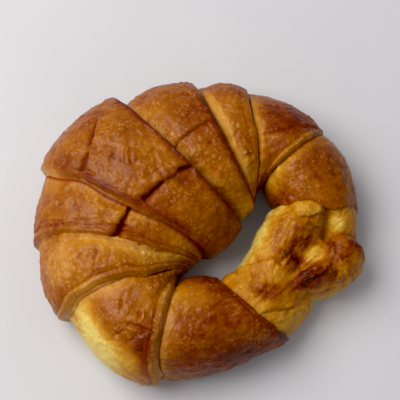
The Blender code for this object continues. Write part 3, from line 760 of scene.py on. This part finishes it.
def band_columns(run, grain, seed):
    """Places along the limb of a band's columns, from its low end to its high end, and the columns."""
    ends = []
    for edge, line, towards in zip(run.edges, run.lines, (1.0, -1.0)):
        if has_lip(run.band, edge):
            # the neighbour that starts under this lip, or the last one beside the knot
            neighbour = edge - 1 if edge <= BELLY else min(edge, len(TUCK) - 1)
            tuck = tuck_depth(neighbour, run.outer)
            columns = lip_columns(edge, tuck, run.arcs, run.outer, seed + 10 * edge)
            shift, scale = ripple(run.arcs, seed + 100 * edge, EDGE_WAVER) * run.relief, run.relief
        else:
            columns, shift, scale = tuck_columns(), 0.0, 1.0
        places = [line + towards * (shift + column.inside * scale) / run.width for column in columns]
        ends.append((places, columns))
    (low, low_columns), (high, high_columns) = ends
    shares = np.linspace(0.0, 1.0, max(LEAST_COLUMNS, int(run.width.max() / grain)))[1:-1]
    body = [low[0] + (high[0] - low[0]) * share for share in shares]
    plain = [Column(0.0, 0.0, False)] * len(body)
    return np.array(low[::-1] + body + high), low_columns[::-1] + plain + high_columns


def low_bake(points):
    """How much paler the walls are towards the base."""
    return LOW_BAKE * (1.0 - smooth_step(points[..., 2], *LOW_HEIGHTS))


def band_shell(band, grain, seed):
    """Grid of points of one band, with its shade values, from its low end to its high end."""
    name, run = BAND_NAMES[band], band_run(band, grain)
    place, columns = band_columns(run, grain, seed)
    fall, groove_shade, ledge_relief = (
        np.array([getattr(column, key) + 0.0 * run.arcs for column in columns])
        for key in ("fall", "shade", "relief"))
    below = np.array([column.below for column in columns])[:, None]

    points, normals, middles = limb_surface(place, np.broadcast_to(run.angles, place.shape))
    share = (place - run.lines[0]) / (run.lines[1] - run.lines[0])
    out = (band_profile(band, share, run.outer) - fall) * run.relief * (1.0 + RIM_FLARE * run.outer)
    distances = {edge: np.abs(place - line) * run.width for edge, line in zip(run.edges, run.lines)}
    rise, line_shade = line_relief(LINES.get(name, ()), distances, run, seed)
    points = points + (out + rise)[..., None] * normals
    dent, crease_shade = crease_relief(points, normals, CREASES.get(name, ()))
    points += (dent * run.standing)[..., None] * normals

    lip_away, tuck_away, seam_shade = FAR, FAR, 0.0
    for edge in run.edges:
        if has_lip(band, edge):
            ledge = sum(ROLL_EDGES[edge].treads) * run.relief * between(TREAD_SHARES, run.outer)
            lip_away = np.minimum(lip_away, distances[edge] - ledge)
        else:
            tuck_away = distances[edge]
            seam_shade = FAINT_SEAMS.get(edge, SEAM_SHADE)
    patchy = 1.0 + TUCK_CHANGE * ripple(run.arcs, seed + band, TUCK_WAVES)
    tucked = patchy * np.exp(-tuck_away / TUCK_REACH)
    front = smooth_step(fall, *FRONT_FALL)
    patch_bake, patch_dry, scorch = patch_change(points, PATCHES.get(name, ()))
    strip_bake, strip_dry = strip_change(STRIPS.get(name, ()), distances, run.angles)
    bake = (BAND_BAKE[band] + patch_bake
            + strip_bake - front * np.maximum(strip_bake, 0.0)
            + np.where(below, LEDGE_BAKE, LIP_BAKE * np.exp(-np.maximum(lip_away, 0.0) / LIP_REACH))
            + FRONT_BAKE * front
            + TUCK_BAKE * tucked
            + low_bake(points))
    # the raised wrinkles' negative crease shade adds a painted highlight here
    dry = (patch_dry + strip_dry + np.maximum(-crease_shade, 0.0)
           + TUCK_DRY * tucked + LEDGE_DRY * below)
    # painted shade in cracks, lines and wall grooves, and along the seam where a band comes out under a lip
    shade = (line_shade + np.maximum(crease_shade, 0.0) + groove_shade
             + seam_shade * np.exp(-(tuck_away / SEAM_WIDTH) ** 2) * run.standing)
    skin = np.stack([(place - band) * run.width, np.broadcast_to(run.arcs, place.shape),
                     SKIN_APART * band + fall], axis=-1)
    relief = run.standing * np.where(below, ledge_relief, smooth_step(lip_away, 0.0, LIP_CALM))

    caps = [[middles[row] + part * (points[row] - middles[row]) for part in CAP_SHARES] for row in (0, -1)]
    points = np.concatenate([np.array(caps[0][::-1]), points, np.array(caps[1])])
    points[..., 2] = np.maximum(points[..., 2], 0.0)
    extra = len(CAP_SHARES)
    values = {"bake": bake, "dry": dry, "crevice_shade": shade, "scorch": scorch, "skin": skin, "relief": relief}
    for key, value in values.items():
        values[key] = np.concatenate([np.repeat(value[:1], extra, 0), value, np.repeat(value[-1:], extra, 0)])
    return points, values


def strand_distance(stations, plan, levels):
    """Distance outside a strand on a block of points, with the place along it and to its side."""
    dense = through(stations, np.linspace(0.0, len(stations) - 1.0, STRAND_STEPS))
    ahead = np.gradient(dense[:, :2], axis=0)
    ahead /= np.linalg.norm(ahead, axis=1)[:, None]
    walked = np.concatenate([[0.0], np.cumsum(np.linalg.norm(np.diff(dense[:, :2], axis=0), axis=1))])
    offsets = plan[:, None, :] - dense[None, :, :2]
    nearest = np.linalg.norm(offsets, axis=-1).argmin(axis=1)
    offset = offsets[np.arange(len(plan)), nearest]
    run = ahead[nearest]
    beyond = np.abs(np.sum(offset * run, axis=1))
    aside = run[:, 0] * offset[:, 1] - run[:, 1] * offset[:, 0]
    _, _, half, top, base = dense[nearest].T
    across = np.hypot(aside, beyond / STRAND_END) / half
    middle = base + KNOT_WIDEST * (top - base)
    above = levels[None, :] - middle[:, None]
    power = np.where(above >= 0.0, KNOT_ROUND_TOP, KNOT_ROUND_BASE)
    reach = np.where(above >= 0.0, (top - middle)[:, None], (middle - base)[:, None])
    flat, tall = across[:, None] + TINY, np.abs(above) / reach + TINY
    size = (flat ** power + tall ** power) ** (1.0 / power)
    slopes = flat ** (power - 1.0) / half[:, None], tall ** (power - 1.0) / reach
    steep = size ** (1.0 - power) * np.hypot(*slopes)
    return (size - 1.0) / steep, walked[nearest], aside


def zero_skin(field, corner, step):
    """Closed skin where a field of distances is zero, as points and four-cornered faces."""
    cells = np.array(field.shape) - 1
    total, count = np.zeros((*cells, 3)), np.zeros(cells)

    def window(block, shift):
        return block[tuple(slice(first, first + size) for first, size in zip(shift, cells))]

    for start in np.ndindex(2, 2, 2):
        for axis in range(3):
            if start[axis]:
                continue
            end = tuple(place + (which == axis) for which, place in enumerate(start))
            first, second = window(field, start), window(field, end)
            crossed = (first < 0.0) != (second < 0.0)
            share = first[crossed] / (first[crossed] - second[crossed])
            places = np.broadcast_to(np.array(start, float), (len(share), 3)).copy()
            places[:, axis] += share
            total[crossed] += places
            count[crossed] += 1.0
    used = count > 0
    index = np.full(cells, -1)
    index[used] = np.arange(used.sum())
    points = corner + step * (np.argwhere(used) + total[used] / count[used][:, None])
    faces = []
    for axis in range(3):
        ahead = np.moveaxis(field, axis, 0)
        numbers = np.moveaxis(index, axis, 0)
        first, second = ahead[:-1, 1:-1, 1:-1] < 0.0, ahead[1:, 1:-1, 1:-1] < 0.0
        for crossed, turn in ((first & ~second, 1), (~first & second, -1)):
            layer, row, column = np.argwhere(crossed).T
            ring = [numbers[layer, row + u, column + v] for u, v in ((0, 0), (1, 0), (1, 1), (0, 1))]
            if axis == 1:
                turn = -turn
            faces.append(np.stack(ring[::turn], axis=-1))
    return points, np.concatenate(faces)


def knot_skin(grain, seed):
    """Points, faces and shade values of the two clasped tips."""
    stations = np.array([station for strand in KNOT for station in strand.stations])
    place, half, top = stations[:, :2], stations[:, 2:3], stations[:, 3]
    low = np.array([*(place - half).min(axis=0), 0.0]) - KNOT_MARGIN
    high = np.array([*(place + half).max(axis=0), top.max()]) + KNOT_MARGIN
    axes = [np.arange(first, last, grain) for first, last in zip(low, high)]
    plan = np.stack(np.meshgrid(axes[0], axes[1], indexing="ij"), axis=-1).reshape(-1, 2)

    field, along, aside = strand_distance(KNOT[0].stations, plan, axes[2])
    closest = np.abs(aside)
    for strand in KNOT[1:]:
        distance, walked, side = strand_distance(strand.stations, plan, axes[2])
        near = np.clip(1.0 - np.abs(field - distance) / strand.melt, 0.0, 1.0)
        field = np.minimum(field, distance) - MELT_SHARE * strand.melt * near ** 2
        mine = np.abs(side) < closest
        closest = np.where(mine, np.abs(side), closest)
        along, aside = np.where(mine, walked, along), np.where(mine, side, aside)
    shape = tuple(len(axis) for axis in axes)
    field = field.reshape(shape)
    points, faces = zero_skin(field, low, grain)
    slopes = np.stack(np.gradient(field, grain), axis=-1)
    cell = np.clip(np.round((points - low) / grain).astype(int), 0, np.array(shape) - 1)
    normals = slopes[tuple(cell.T)]
    normals /= np.linalg.norm(normals, axis=1)[:, None] + TINY
    where = tuple(cell[:, :2].T)
    along, aside = along.reshape(shape[:2])[where], aside.reshape(shape[:2])[where]

    standing = smooth_step(points[:, 2], *KNOT_STANDING)
    dent, shade = crease_relief(points, normals, CREASES[KNOT_NAME])
    drift = FOLD_DRIFT * ripple(along, seed, FOLD_SWAY)
    fold = ripple(aside + drift, seed + 3, FOLD_WAVES)
    points += ((dent + fold) * standing)[:, None] * normals
    points[:, 2] = np.maximum(points[:, 2], 0.0)
    change, dry, scorch = patch_change(points, PATCHES[KNOT_NAME])
    bake = KNOT_BAKE + low_bake(points) + FOLD_BAKE * fold + change
    skin = np.stack([along, aside, SKIN_RISE * points[:, 2]], axis=-1)
    return points, faces, {"bake": bake, "dry": dry, "crevice_shade": shade, "scorch": scorch, "skin": skin,
                           "relief": standing}


# -------------------------------------------------------------------- meshes
def ringed_faces(rings, count):
    """Faces of a grid of rings, fanned shut at both ends to two added points."""
    ring, side = np.meshgrid(np.arange(rings - 1), np.arange(count), indexing="ij")
    beside = (side + 1) % count
    quads = np.stack([ring * count + side, ring * count + beside,
                      (ring + 1) * count + beside, (ring + 1) * count + side], axis=-1).reshape(-1, 4)
    first, last, end = rings * count, rings * count + 1, (rings - 1) * count
    fans = [(first, (step + 1) % count, step) for step in range(count)]
    fans += [(last, end + step, end + (step + 1) % count) for step in range(count)]
    return quads, fans


def crust_piece(name, points, quads, fans, values):
    """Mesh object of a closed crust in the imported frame, its faces turned outwards."""
    vertices = (points - MIDDLE) * MM
    corners = vertices[quads]
    volume = np.einsum("ij,ij->i", corners[:, 0], np.cross(corners[:, 1], corners[:, 2])).sum()
    volume += np.einsum("ij,ij->i", corners[:, 0], np.cross(corners[:, 2], corners[:, 3])).sum()
    faces = quads.tolist() + fans
    if volume < 0.0:
        faces = [face[::-1] for face in faces]
    mesh = bpy.data.meshes.new(name)
    mesh.from_pydata(vertices, [], faces)
    for key, value in values.items():
        wide = value.ndim == 2
        layer = mesh.attributes.new(key, "FLOAT_VECTOR" if wide else "FLOAT", "POINT")
        layer.data.foreach_set("vector" if wide else "value", (value * MM if wide else value).ravel())
    mesh.shade_smooth()
    piece = bpy.data.objects.new(name, mesh)
    bpy.context.scene.collection.objects.link(piece)
    return piece


def band_piece(name, points, values):
    """Mesh object of a band from its rings of points."""
    quads, fans = ringed_faces(*points.shape[:2])
    points = np.concatenate([points.reshape(-1, 3), points[:1].mean(axis=1), points[-1:].mean(axis=1)])
    flat = {}
    for key, value in values.items():
        value = value.reshape(-1, 3) if value.ndim == 3 else value.reshape(-1)
        flat[key] = np.concatenate([value, value[:1], value[-1:]])
    return crust_piece(name, points, quads, fans, flat)


# -------------------------------------------------------------------- relief
class Wiring:
    """Adds nodes to a tree; each input is given as a number or as another node's socket."""

    def __init__(self, tree):
        self.nodes, self.links = tree.nodes, tree.links

    def add(self, kind, inputs=(), **settings):
        node = self.nodes.new(kind)
        for name, value in settings.items():
            setattr(node, name, value)
        for key, value in dict(inputs).items():
            self.feed(node.inputs[key], value)
        return node

    def feed(self, socket, value):
        if isinstance(value, bpy.types.NodeSocket):
            self.links.new(value, socket)
        else:
            socket.default_value = value

    def maths(self, operation, first, second, clamp=False):
        node = self.add("ShaderNodeMath", {0: first, 1: second}, operation=operation, use_clamp=clamp)
        return node.outputs[0]

    def plus(self, first, second, clamp=False):
        return self.maths("ADD", first, second, clamp)

    def minus(self, first, second, clamp=False):
        return self.maths("SUBTRACT", first, second, clamp)

    def times(self, first, second, clamp=False):
        return self.maths("MULTIPLY", first, second, clamp)

    def vectors(self, operation, first, second):
        return self.add("ShaderNodeVectorMath", {0: first, 1: second}, operation=operation).outputs[0]

    def scaled(self, vector, factor):
        node = self.add("ShaderNodeVectorMath", {0: vector, "Scale": factor}, operation="SCALE")
        return node.outputs[0]


def relief_tree(material):
    """Geometry Nodes: lumps, blisters and wrinkles on a crust, along its normals."""
    tree = bpy.data.node_groups.new("crust_relief", "GeometryNodeTree")
    face = tree.interface
    face.new_socket("Geometry", in_out="INPUT", socket_type="NodeSocketGeometry")
    for name in ("Lump Height", "Lump Size", "Blister Height", "Blister Size",
                 "Wrinkle Height", "Wrinkle Size", "Stretch", "Seed"):
        face.new_socket(name, in_out="INPUT", socket_type="NodeSocketFloat")
    face.new_socket("Geometry", in_out="OUTPUT", socket_type="NodeSocketGeometry")
    wiring = Wiring(tree)
    add, plus, minus, times, scaled = (wiring.add, wiring.plus, wiring.minus, wiring.times, wiring.scaled)
    given = add("NodeGroupInput").outputs

    def noise(vector, detail, seed_offset):
        node = add("ShaderNodeTexNoise", {"Vector": vector, "Scale": 1.0, "Detail": detail,
                                          "W": plus(given["Seed"], seed_offset)}, noise_dimensions="4D")
        return node.outputs[0]

    def sized(vector, share, name):
        return scaled(vector, wiring.maths("DIVIDE", share, given[name]))

    def named(name, kind):
        return add("GeometryNodeInputNamedAttribute", {"Name": name}, data_type=kind).outputs[0]

    position = add("GeometryNodeInputPosition").outputs[0]
    lumps = minus(noise(sized(position, 1.0, "Lump Size"), 2.0, 0.3), 0.5)
    lumps = times(times(lumps, given["Lump Height"]), LUMP_RISE)

    drawn_out = add("ShaderNodeCombineXYZ", {"X": given["Stretch"], "Y": 1.0, "Z": 1.0}).outputs[0]
    skin = wiring.vectors("MULTIPLY", named("skin", "FLOAT_VECTOR"), drawn_out)
    place = sized(skin, 1.0, "Blister Size")
    warped = wiring.vectors("ADD", place, noise(place, 2.0, 4.1))
    cell = add("ShaderNodeTexVoronoi", {"Vector": warped, "Scale": 1.0})
    dome = times(minus(BLISTER_EDGE, cell.outputs["Distance"], clamp=True), BLISTER_RISE)
    where = noise(sized(position, CLUSTER_SCALE, "Blister Size"), 2.0, 9.7)
    dome = times(dome, times(minus(where, CLUSTER_FROM), CLUSTER_SHARP, clamp=True))
    blisters = times(dome, given["Blister Height"])

    wrinkle = noise(sized(skin, WRINKLE_SCALE, "Wrinkle Size"), 3.0, 2.2)
    hollow = times(minus(0.5, wrinkle), HOLLOW_SHARP, clamp=True)
    wrinkle = times(minus(wrinkle, 0.5), times(given["Wrinkle Height"], WRINKLE_RISE))
    total = plus(plus(lumps, blisters), wrinkle)
    total = times(total, named("relief", "FLOAT"))

    kept = given["Geometry"]
    for name, value in (("blister", dome), ("hollow", hollow)):
        kept = add("GeometryNodeStoreNamedAttribute", {"Geometry": kept, "Name": name, "Value": value},
                   data_type="FLOAT", domain="POINT").outputs[0]
    offset = scaled(add("GeometryNodeInputNormal").outputs[0], total)
    moved = add("GeometryNodeSetPosition", {"Geometry": kept, "Offset": offset}).outputs[0]
    whole = add("GeometryNodeRealizeInstances", {0: moved}).outputs[0]
    painted = add("GeometryNodeSetMaterial", {"Geometry": whole, "Material": material}).outputs[0]
    add("NodeGroupOutput", {0: painted})
    return tree


def apply_relief(piece, material, sizes, stretch, strength=1.0):
    """Run the relief tree on a piece and keep the result as its plain mesh."""
    tree = relief_tree(material)
    modifier = piece.modifiers.new("crust_relief", "NODES")
    modifier.node_group = tree
    values = {
        "Lump Height": sizes.lump_height, "Lump Size": sizes.lump_size,
        "Blister Height": sizes.blister_height, "Blister Size": sizes.blister_size,
        "Wrinkle Height": sizes.wrinkle_height * strength, "Wrinkle Size": sizes.wrinkle_size,
        "Stretch": stretch, "Seed": float(sizes.seed),
    }
    for item in tree.interface.items_tree:
        if item.in_out == "INPUT" and item.name in values:
            modifier[item.identifier] = values[item.name]
    shape = bpy.context.evaluated_depsgraph_get()
    mesh = bpy.data.meshes.new_from_object(piece.evaluated_get(shape))
    piece.modifiers.clear()
    piece.data = mesh
    mesh.name = piece.name
    points = np.empty(len(mesh.vertices) * 3)
    mesh.vertices.foreach_get("co", points)
    points[2::3] = np.maximum(points[2::3], 0.0)
    mesh.vertices.foreach_set("co", points)
    mesh.shade_smooth()
    bpy.data.node_groups.remove(tree)


def stand_for_node(piece):
    """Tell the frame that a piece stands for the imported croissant."""
    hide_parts(NODE)
    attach(piece, BODY)


# ----------------------------------------------------------------- materials
def linear(colour):
    """A screen colour as linear light, with full alpha."""
    return tuple(c / 12.92 if c <= 0.04045 else ((c + 0.055) / 1.055) ** 2.4 for c in colour) + (1.0,)


def crust_group(colours):
    """Shader group: bake, drier crust with painted glints and sheen, and painted shade in crevices, to
    colour, roughness and height.
    """
    old = bpy.data.node_groups.get("baked_skin")
    if old:
        return old
    group = bpy.data.node_groups.new("baked_skin", "ShaderNodeTree")
    face = group.interface
    for name in ("Bake", "Dry", "Crevice_Shade", "Blister", "Hollow", "Scorch", "Mottle", "Streaks"):
        face.new_socket(name, in_out="INPUT", socket_type="NodeSocketFloat")
    for name in ("Place", "Skin"):
        face.new_socket(name, in_out="INPUT", socket_type="NodeSocketVector")
    for name, kind in (("Colour", "Color"), ("Roughness", "Float"), ("Height", "Float")):
        face.new_socket(name, in_out="OUTPUT", socket_type="NodeSocket" + kind)
    wiring = Wiring(group)
    add, plus, minus, times = wiring.add, wiring.plus, wiring.minus, wiring.times
    given = add("NodeGroupInput").outputs

    def noise(vector, pattern):
        node = add("ShaderNodeTexNoise", {"Vector": vector, "Scale": pattern.scale, "Detail": pattern.detail,
                                          "Roughness": pattern.rough})
        return minus(node.outputs[0], 0.5)

    def blend(share, base, colour):
        node = add("ShaderNodeMix", data_type="RGBA")
        wiring.feed(node.inputs["Factor"], share)
        for name, value in (("A", base), ("B", colour)):
            wiring.feed(next(end for end in node.inputs if end.name == name and end.type == "RGBA"), value)
        return next(end for end in node.outputs if end.type == "RGBA")

    place = given["Place"]
    broad, mid, fine = (noise(place, pattern) for pattern in (BROAD, MID, FINE))
    streak = noise(wiring.vectors("MULTIPLY", given["Skin"], STREAK_DRAWN), STREAK)
    mottle = plus(times(broad, MOTTLE[0]), plus(times(mid, MOTTLE[1]), times(fine, MOTTLE[2])))
    bake = plus(given["Bake"], times(mottle, given["Mottle"]))
    bake = plus(bake, times(streak, given["Streaks"]))
    scorched = plus(times(streak, SCORCH[0]), times(mid, SCORCH[1]))
    scorched = times(plus(scorched, SCORCH_BASE, clamp=True), given["Scorch"])
    bake = plus(bake, times(scorched, SCORCH_BAKE))
    # paler blister tops and darker wrinkle hollows: painted highlight and painted shade
    bake = minus(bake, times(given["Blister"], BLISTER_HIGHLIGHT))
    bake = plus(bake, times(given["Hollow"], HOLLOW_SHADE))

    # pale flecks: painted glints on the crust's small bumps
    clusters = times(plus(noise(place, CLUSTER), CLUSTER_BASE), CLUSTER_EDGE, clamp=True)
    glint_fleck = times(minus(noise(place, FLECK), FLECK_FROM), FLECK_EDGE, clamp=True)
    glint_fleck = times(glint_fleck, minus(clusters, given["Scorch"], clamp=True))
    glint_fleck = times(glint_fleck, minus(FLECK_PALE, times(given["Bake"], FLECK_DARK), clamp=True))

    ramp = add("ShaderNodeValToRGB", {0: bake})
    shades = (colours.pale, colours.straw, colours.golden, colours.amber, colours.brown, colours.burnt)
    stops = ramp.color_ramp.elements
    while len(stops) < len(shades):
        stops.new(0.5)
    for stop, position, colour in zip(stops, COLOUR_STOPS, shades):
        stop.position = position
        stop.color = linear(colour)

    edge = plus(times(mid, DRY_BREAK[0]), times(fine, DRY_BREAK[1]))
    dryness_and_sheen = times(minus(plus(given["Dry"], edge), DRY_FROM), DRY_EDGE, clamp=True)
    dryness_and_sheen = times(dryness_and_sheen, plus(DRY_COLOUR, times(mid, DRY_CHANGE)))
    # drier crust, painted glints and painted sheen blend towards the tan
    pale = plus(dryness_and_sheen, times(glint_fleck, FLECK_GLINT), clamp=True)
    colour = blend(pale, ramp.outputs[0], linear(colours.dry))
    # painted shade: cracks, seams and grooves blend towards the shade colours, darker where the shade mask is
    # strongest
    colour = blend(times(given["Crevice_Shade"], CRACK_SHADE, clamp=True), colour, linear(colours.crack_shade))
    deep_shade = times(minus(given["Crevice_Shade"], DEEP_FROM), DEEP_EDGE, clamp=True)
    colour = blend(times(deep_shade, DEEP_SHADE), colour, linear(colours.deep_shade))
    rough = plus(ROUGH, plus(times(mid, ROUGH_MID), times(dryness_and_sheen, ROUGH_DRY)))
    rough = plus(rough, times(given["Crevice_Shade"], ROUGH_CRACK), clamp=True)
    height = plus(times(fine, HEIGHT[0]), plus(times(mid, HEIGHT[1]), times(glint_fleck, HEIGHT[2])))
    add("NodeGroupOutput", {"Colour": colour, "Roughness": rough, "Height": height})
    return group


def crust_material(finish, colours):
    """Baked crust with an egg-wash shine."""
    material = bpy.data.materials.get(finish.name)
    if material:
        return material
    material = bpy.data.materials.new(finish.name)
    material.use_nodes = True
    wiring = Wiring(material.node_tree)
    skin = wiring.add("ShaderNodeGroup", node_tree=crust_group(colours))
    place = wiring.add("ShaderNodeTexCoord").outputs["Object"]
    for socket, value in (("Mottle", finish.mottle), ("Streaks", finish.streaks), ("Place", place)):
        wiring.feed(skin.inputs[socket], value)
    for name in ("bake", "dry", "crevice_shade", "blister", "hollow", "scorch", "skin"):
        read = wiring.add("ShaderNodeAttribute", attribute_name=name)
        wiring.feed(skin.inputs[name.title()], read.outputs["Vector" if name == "skin" else "Fac"])
    bump = wiring.add("ShaderNodeBump", {"Strength": BUMP_STRENGTH, "Distance": BUMP_DISTANCE,
                                         "Height": skin.outputs["Height"]})
    finished = {"Base Color": skin.outputs["Colour"], "Roughness": skin.outputs["Roughness"],
                "Normal": bump.outputs[0], "Coat Weight": finish.coat, **EGG_WASH}
    for socket, value in finished.items():
        wiring.feed(material.node_tree.nodes["Principled BSDF"].inputs[socket], value)
    return material


# ----------------------------------------------------------------- operators
class BandMaker:
    """What the operators for the rolled bands share."""

    def build(self, context, bands):
        sizes, colours = context.scene.croissant_relief, context.scene.croissant_colours
        material = crust_material(ROLLED_CRUST, colours)
        for band in bands:
            points, values = band_shell(band, sizes.grain / MM, sizes.seed)
            piece = band_piece(BAND_NAMES[band], points, values)
            apply_relief(piece, material, sizes, BAND_STRETCH)
            stand_for_node(piece)


class CROISSANT_OT_belly(BandMaker, bpy.types.Operator):
    """Build the outermost band round the thick middle."""
    bl_idname = "croissant.belly"
    bl_label = "Belly Band"

    def execute(self, context):
        self.build(context, (BELLY,))
        return {"FINISHED"}


class CROISSANT_OT_upper_limb(BandMaker, bpy.types.Operator):
    """Build the bands of the upper limb."""
    bl_idname = "croissant.upper_limb"
    bl_label = "Upper Limb"

    def execute(self, context):
        self.build(context, range(BELLY))
        return {"FINISHED"}


class CROISSANT_OT_lower_limb(BandMaker, bpy.types.Operator):
    """Build the bands of the lower limb."""
    bl_idname = "croissant.lower_limb"
    bl_label = "Lower Limb"

    def execute(self, context):
        self.build(context, range(BELLY + 1, len(BAND_NAMES)))
        return {"FINISHED"}


class CROISSANT_OT_tips(bpy.types.Operator):
    """Build the two clasped tips."""
    bl_idname = "croissant.tips"
    bl_label = "Clasped Tips"

    def execute(self, context):
        sizes, colours = context.scene.croissant_relief, context.scene.croissant_colours
        material = crust_material(TIP_CRUST, colours)
        points, faces, values = knot_skin(sizes.grain / MM, sizes.seed)
        piece = crust_piece(KNOT_NAME, points, faces, [], values)
        apply_relief(piece, material, sizes, TIP_STRETCH, strength=TIP_WRINKLES)
        stand_for_node(piece)
        return {"FINISHED"}


class CROISSANT_OT_stage(bpy.types.Operator):
    """Lay the pale floor and set the camera and the lights."""
    bl_idname = "croissant.stage"
    bl_label = "Stage"

    def execute(self, context):
        look = context.scene.croissant_stage
        self.floor(look)
        self.lights(context, look)
        self.camera(context, look)
        return {"FINISHED"}

    def floor(self, look):
        mesh = bpy.data.meshes.new("floor")
        corners = ((-1, -1), (1, -1), (1, 1), (-1, 1))
        mesh.from_pydata([(FLOOR_HALF * x, FLOOR_HALF * y, 0.0) for x, y in corners], [], [(0, 1, 2, 3)])
        floor = bpy.data.objects.new("floor", mesh)
        bpy.context.scene.collection.objects.link(floor)
        material = bpy.data.materials.new("pale_table")
        material.use_nodes = True
        wiring = Wiring(material.node_tree)
        place = wiring.add("ShaderNodeTexCoord").outputs["Object"]
        clouds = {"Vector": place, "Scale": FLOOR_CLOUDS, "Detail": FLOOR_DETAIL}
        noise = wiring.add("ShaderNodeTexNoise", clouds)
        tone = wiring.add("ShaderNodeValToRGB", {0: noise.outputs[0]})
        for element, change in zip(tone.color_ramp.elements, FLOOR_TONES):
            element.color = linear([c * change for c in look.floor])
        shader = material.node_tree.nodes["Principled BSDF"]
        wiring.feed(shader.inputs["Base Color"], tone.outputs[0])
        wiring.feed(shader.inputs["Roughness"], FLOOR_ROUGH)
        mesh.materials.append(material)

    def lights(self, context, look):
        window = bpy.data.lights.new("window", "AREA")
        window.shape = "RECTANGLE"
        window.size, window.size_y = WINDOW_SIZE
        window.energy = look.window
        window.color = WINDOW_TINT
        lamp = bpy.data.objects.new("window", window)
        context.scene.collection.objects.link(lamp)
        self.aim(lamp, WINDOW_PLACE, WINDOW_AIM)
        world = bpy.data.worlds.new("room")
        context.scene.world = world
        world.use_nodes = True
        back = world.node_tree.nodes["Background"]
        back.inputs["Color"].default_value = ROOM_TINT
        back.inputs["Strength"].default_value = look.sky

    def camera(self, context, look):
        camera = bpy.data.objects.new("camera", bpy.data.cameras.new("camera"))
        context.scene.collection.objects.link(camera)
        camera.data.lens = look.lens
        camera.data.sensor_width = SENSOR_WIDTH
        camera.data.clip_start = CLIP_START
        target = (CAMERA_AIM - MIDDLE) * MM
        back = np.array([0.0, -math.cos(look.elevation), math.sin(look.elevation)])
        self.aim(camera, target + look.distance * back, target)
        context.scene.camera = camera

    def aim(self, thing, place, target):
        thing.location = place
        thing.rotation_euler = Vector(target - place).to_track_quat("-Z", "Y").to_euler()


class CROISSANT_PT_panel(bpy.types.Panel):
    """The croissant's steps, sizes and colours."""
    bl_label = "Ring Croissant"
    bl_idname = "CROISSANT_PT_panel"
    bl_space_type = "VIEW_3D"
    bl_region_type = "UI"
    bl_category = "Croissant"

    def draw(self, context):
        for step in STEPS:
            self.layout.operator(step.bl_idname)
        for group in (context.scene.croissant_relief, context.scene.croissant_colours,
                      context.scene.croissant_stage):
            column = self.layout.column()
            for name in group.__annotations__:
                column.prop(group, name)


STEPS = (CROISSANT_OT_belly, CROISSANT_OT_upper_limb, CROISSANT_OT_lower_limb, CROISSANT_OT_tips,
         CROISSANT_OT_stage)
CLASSES = (CroissantRelief, CroissantColours, CroissantStage, *STEPS, CROISSANT_PT_panel)


def register():
    """Register the classes and their settings."""
    for item in CLASSES:
        bpy.utils.register_class(item)
    bpy.types.Scene.croissant_relief = PointerProperty(type=CroissantRelief)
    bpy.types.Scene.croissant_colours = PointerProperty(type=CroissantColours)
    bpy.types.Scene.croissant_stage = PointerProperty(type=CroissantStage)


def unregister():
    """Remove the settings and the classes."""
    del bpy.types.Scene.croissant_relief
    del bpy.types.Scene.croissant_colours
    del bpy.types.Scene.croissant_stage
    for item in reversed(CLASSES):
        bpy.utils.unregister_class(item)


def main():
    """Build the croissant."""
    register()
    bpy.ops.croissant.belly()
    bpy.ops.croissant.upper_limb()
    bpy.ops.croissant.lower_limb()
    bpy.ops.croissant.tips()
    bpy.ops.croissant.stage()
    picture = bpy.context.scene.view_settings
    picture.view_transform = "Standard"
    picture.use_curve_mapping = True
    picture.curve_mapping.black_level = BLACK_LEVEL
    picture.curve_mapping.update()


if __name__ == "__main__":
    main()
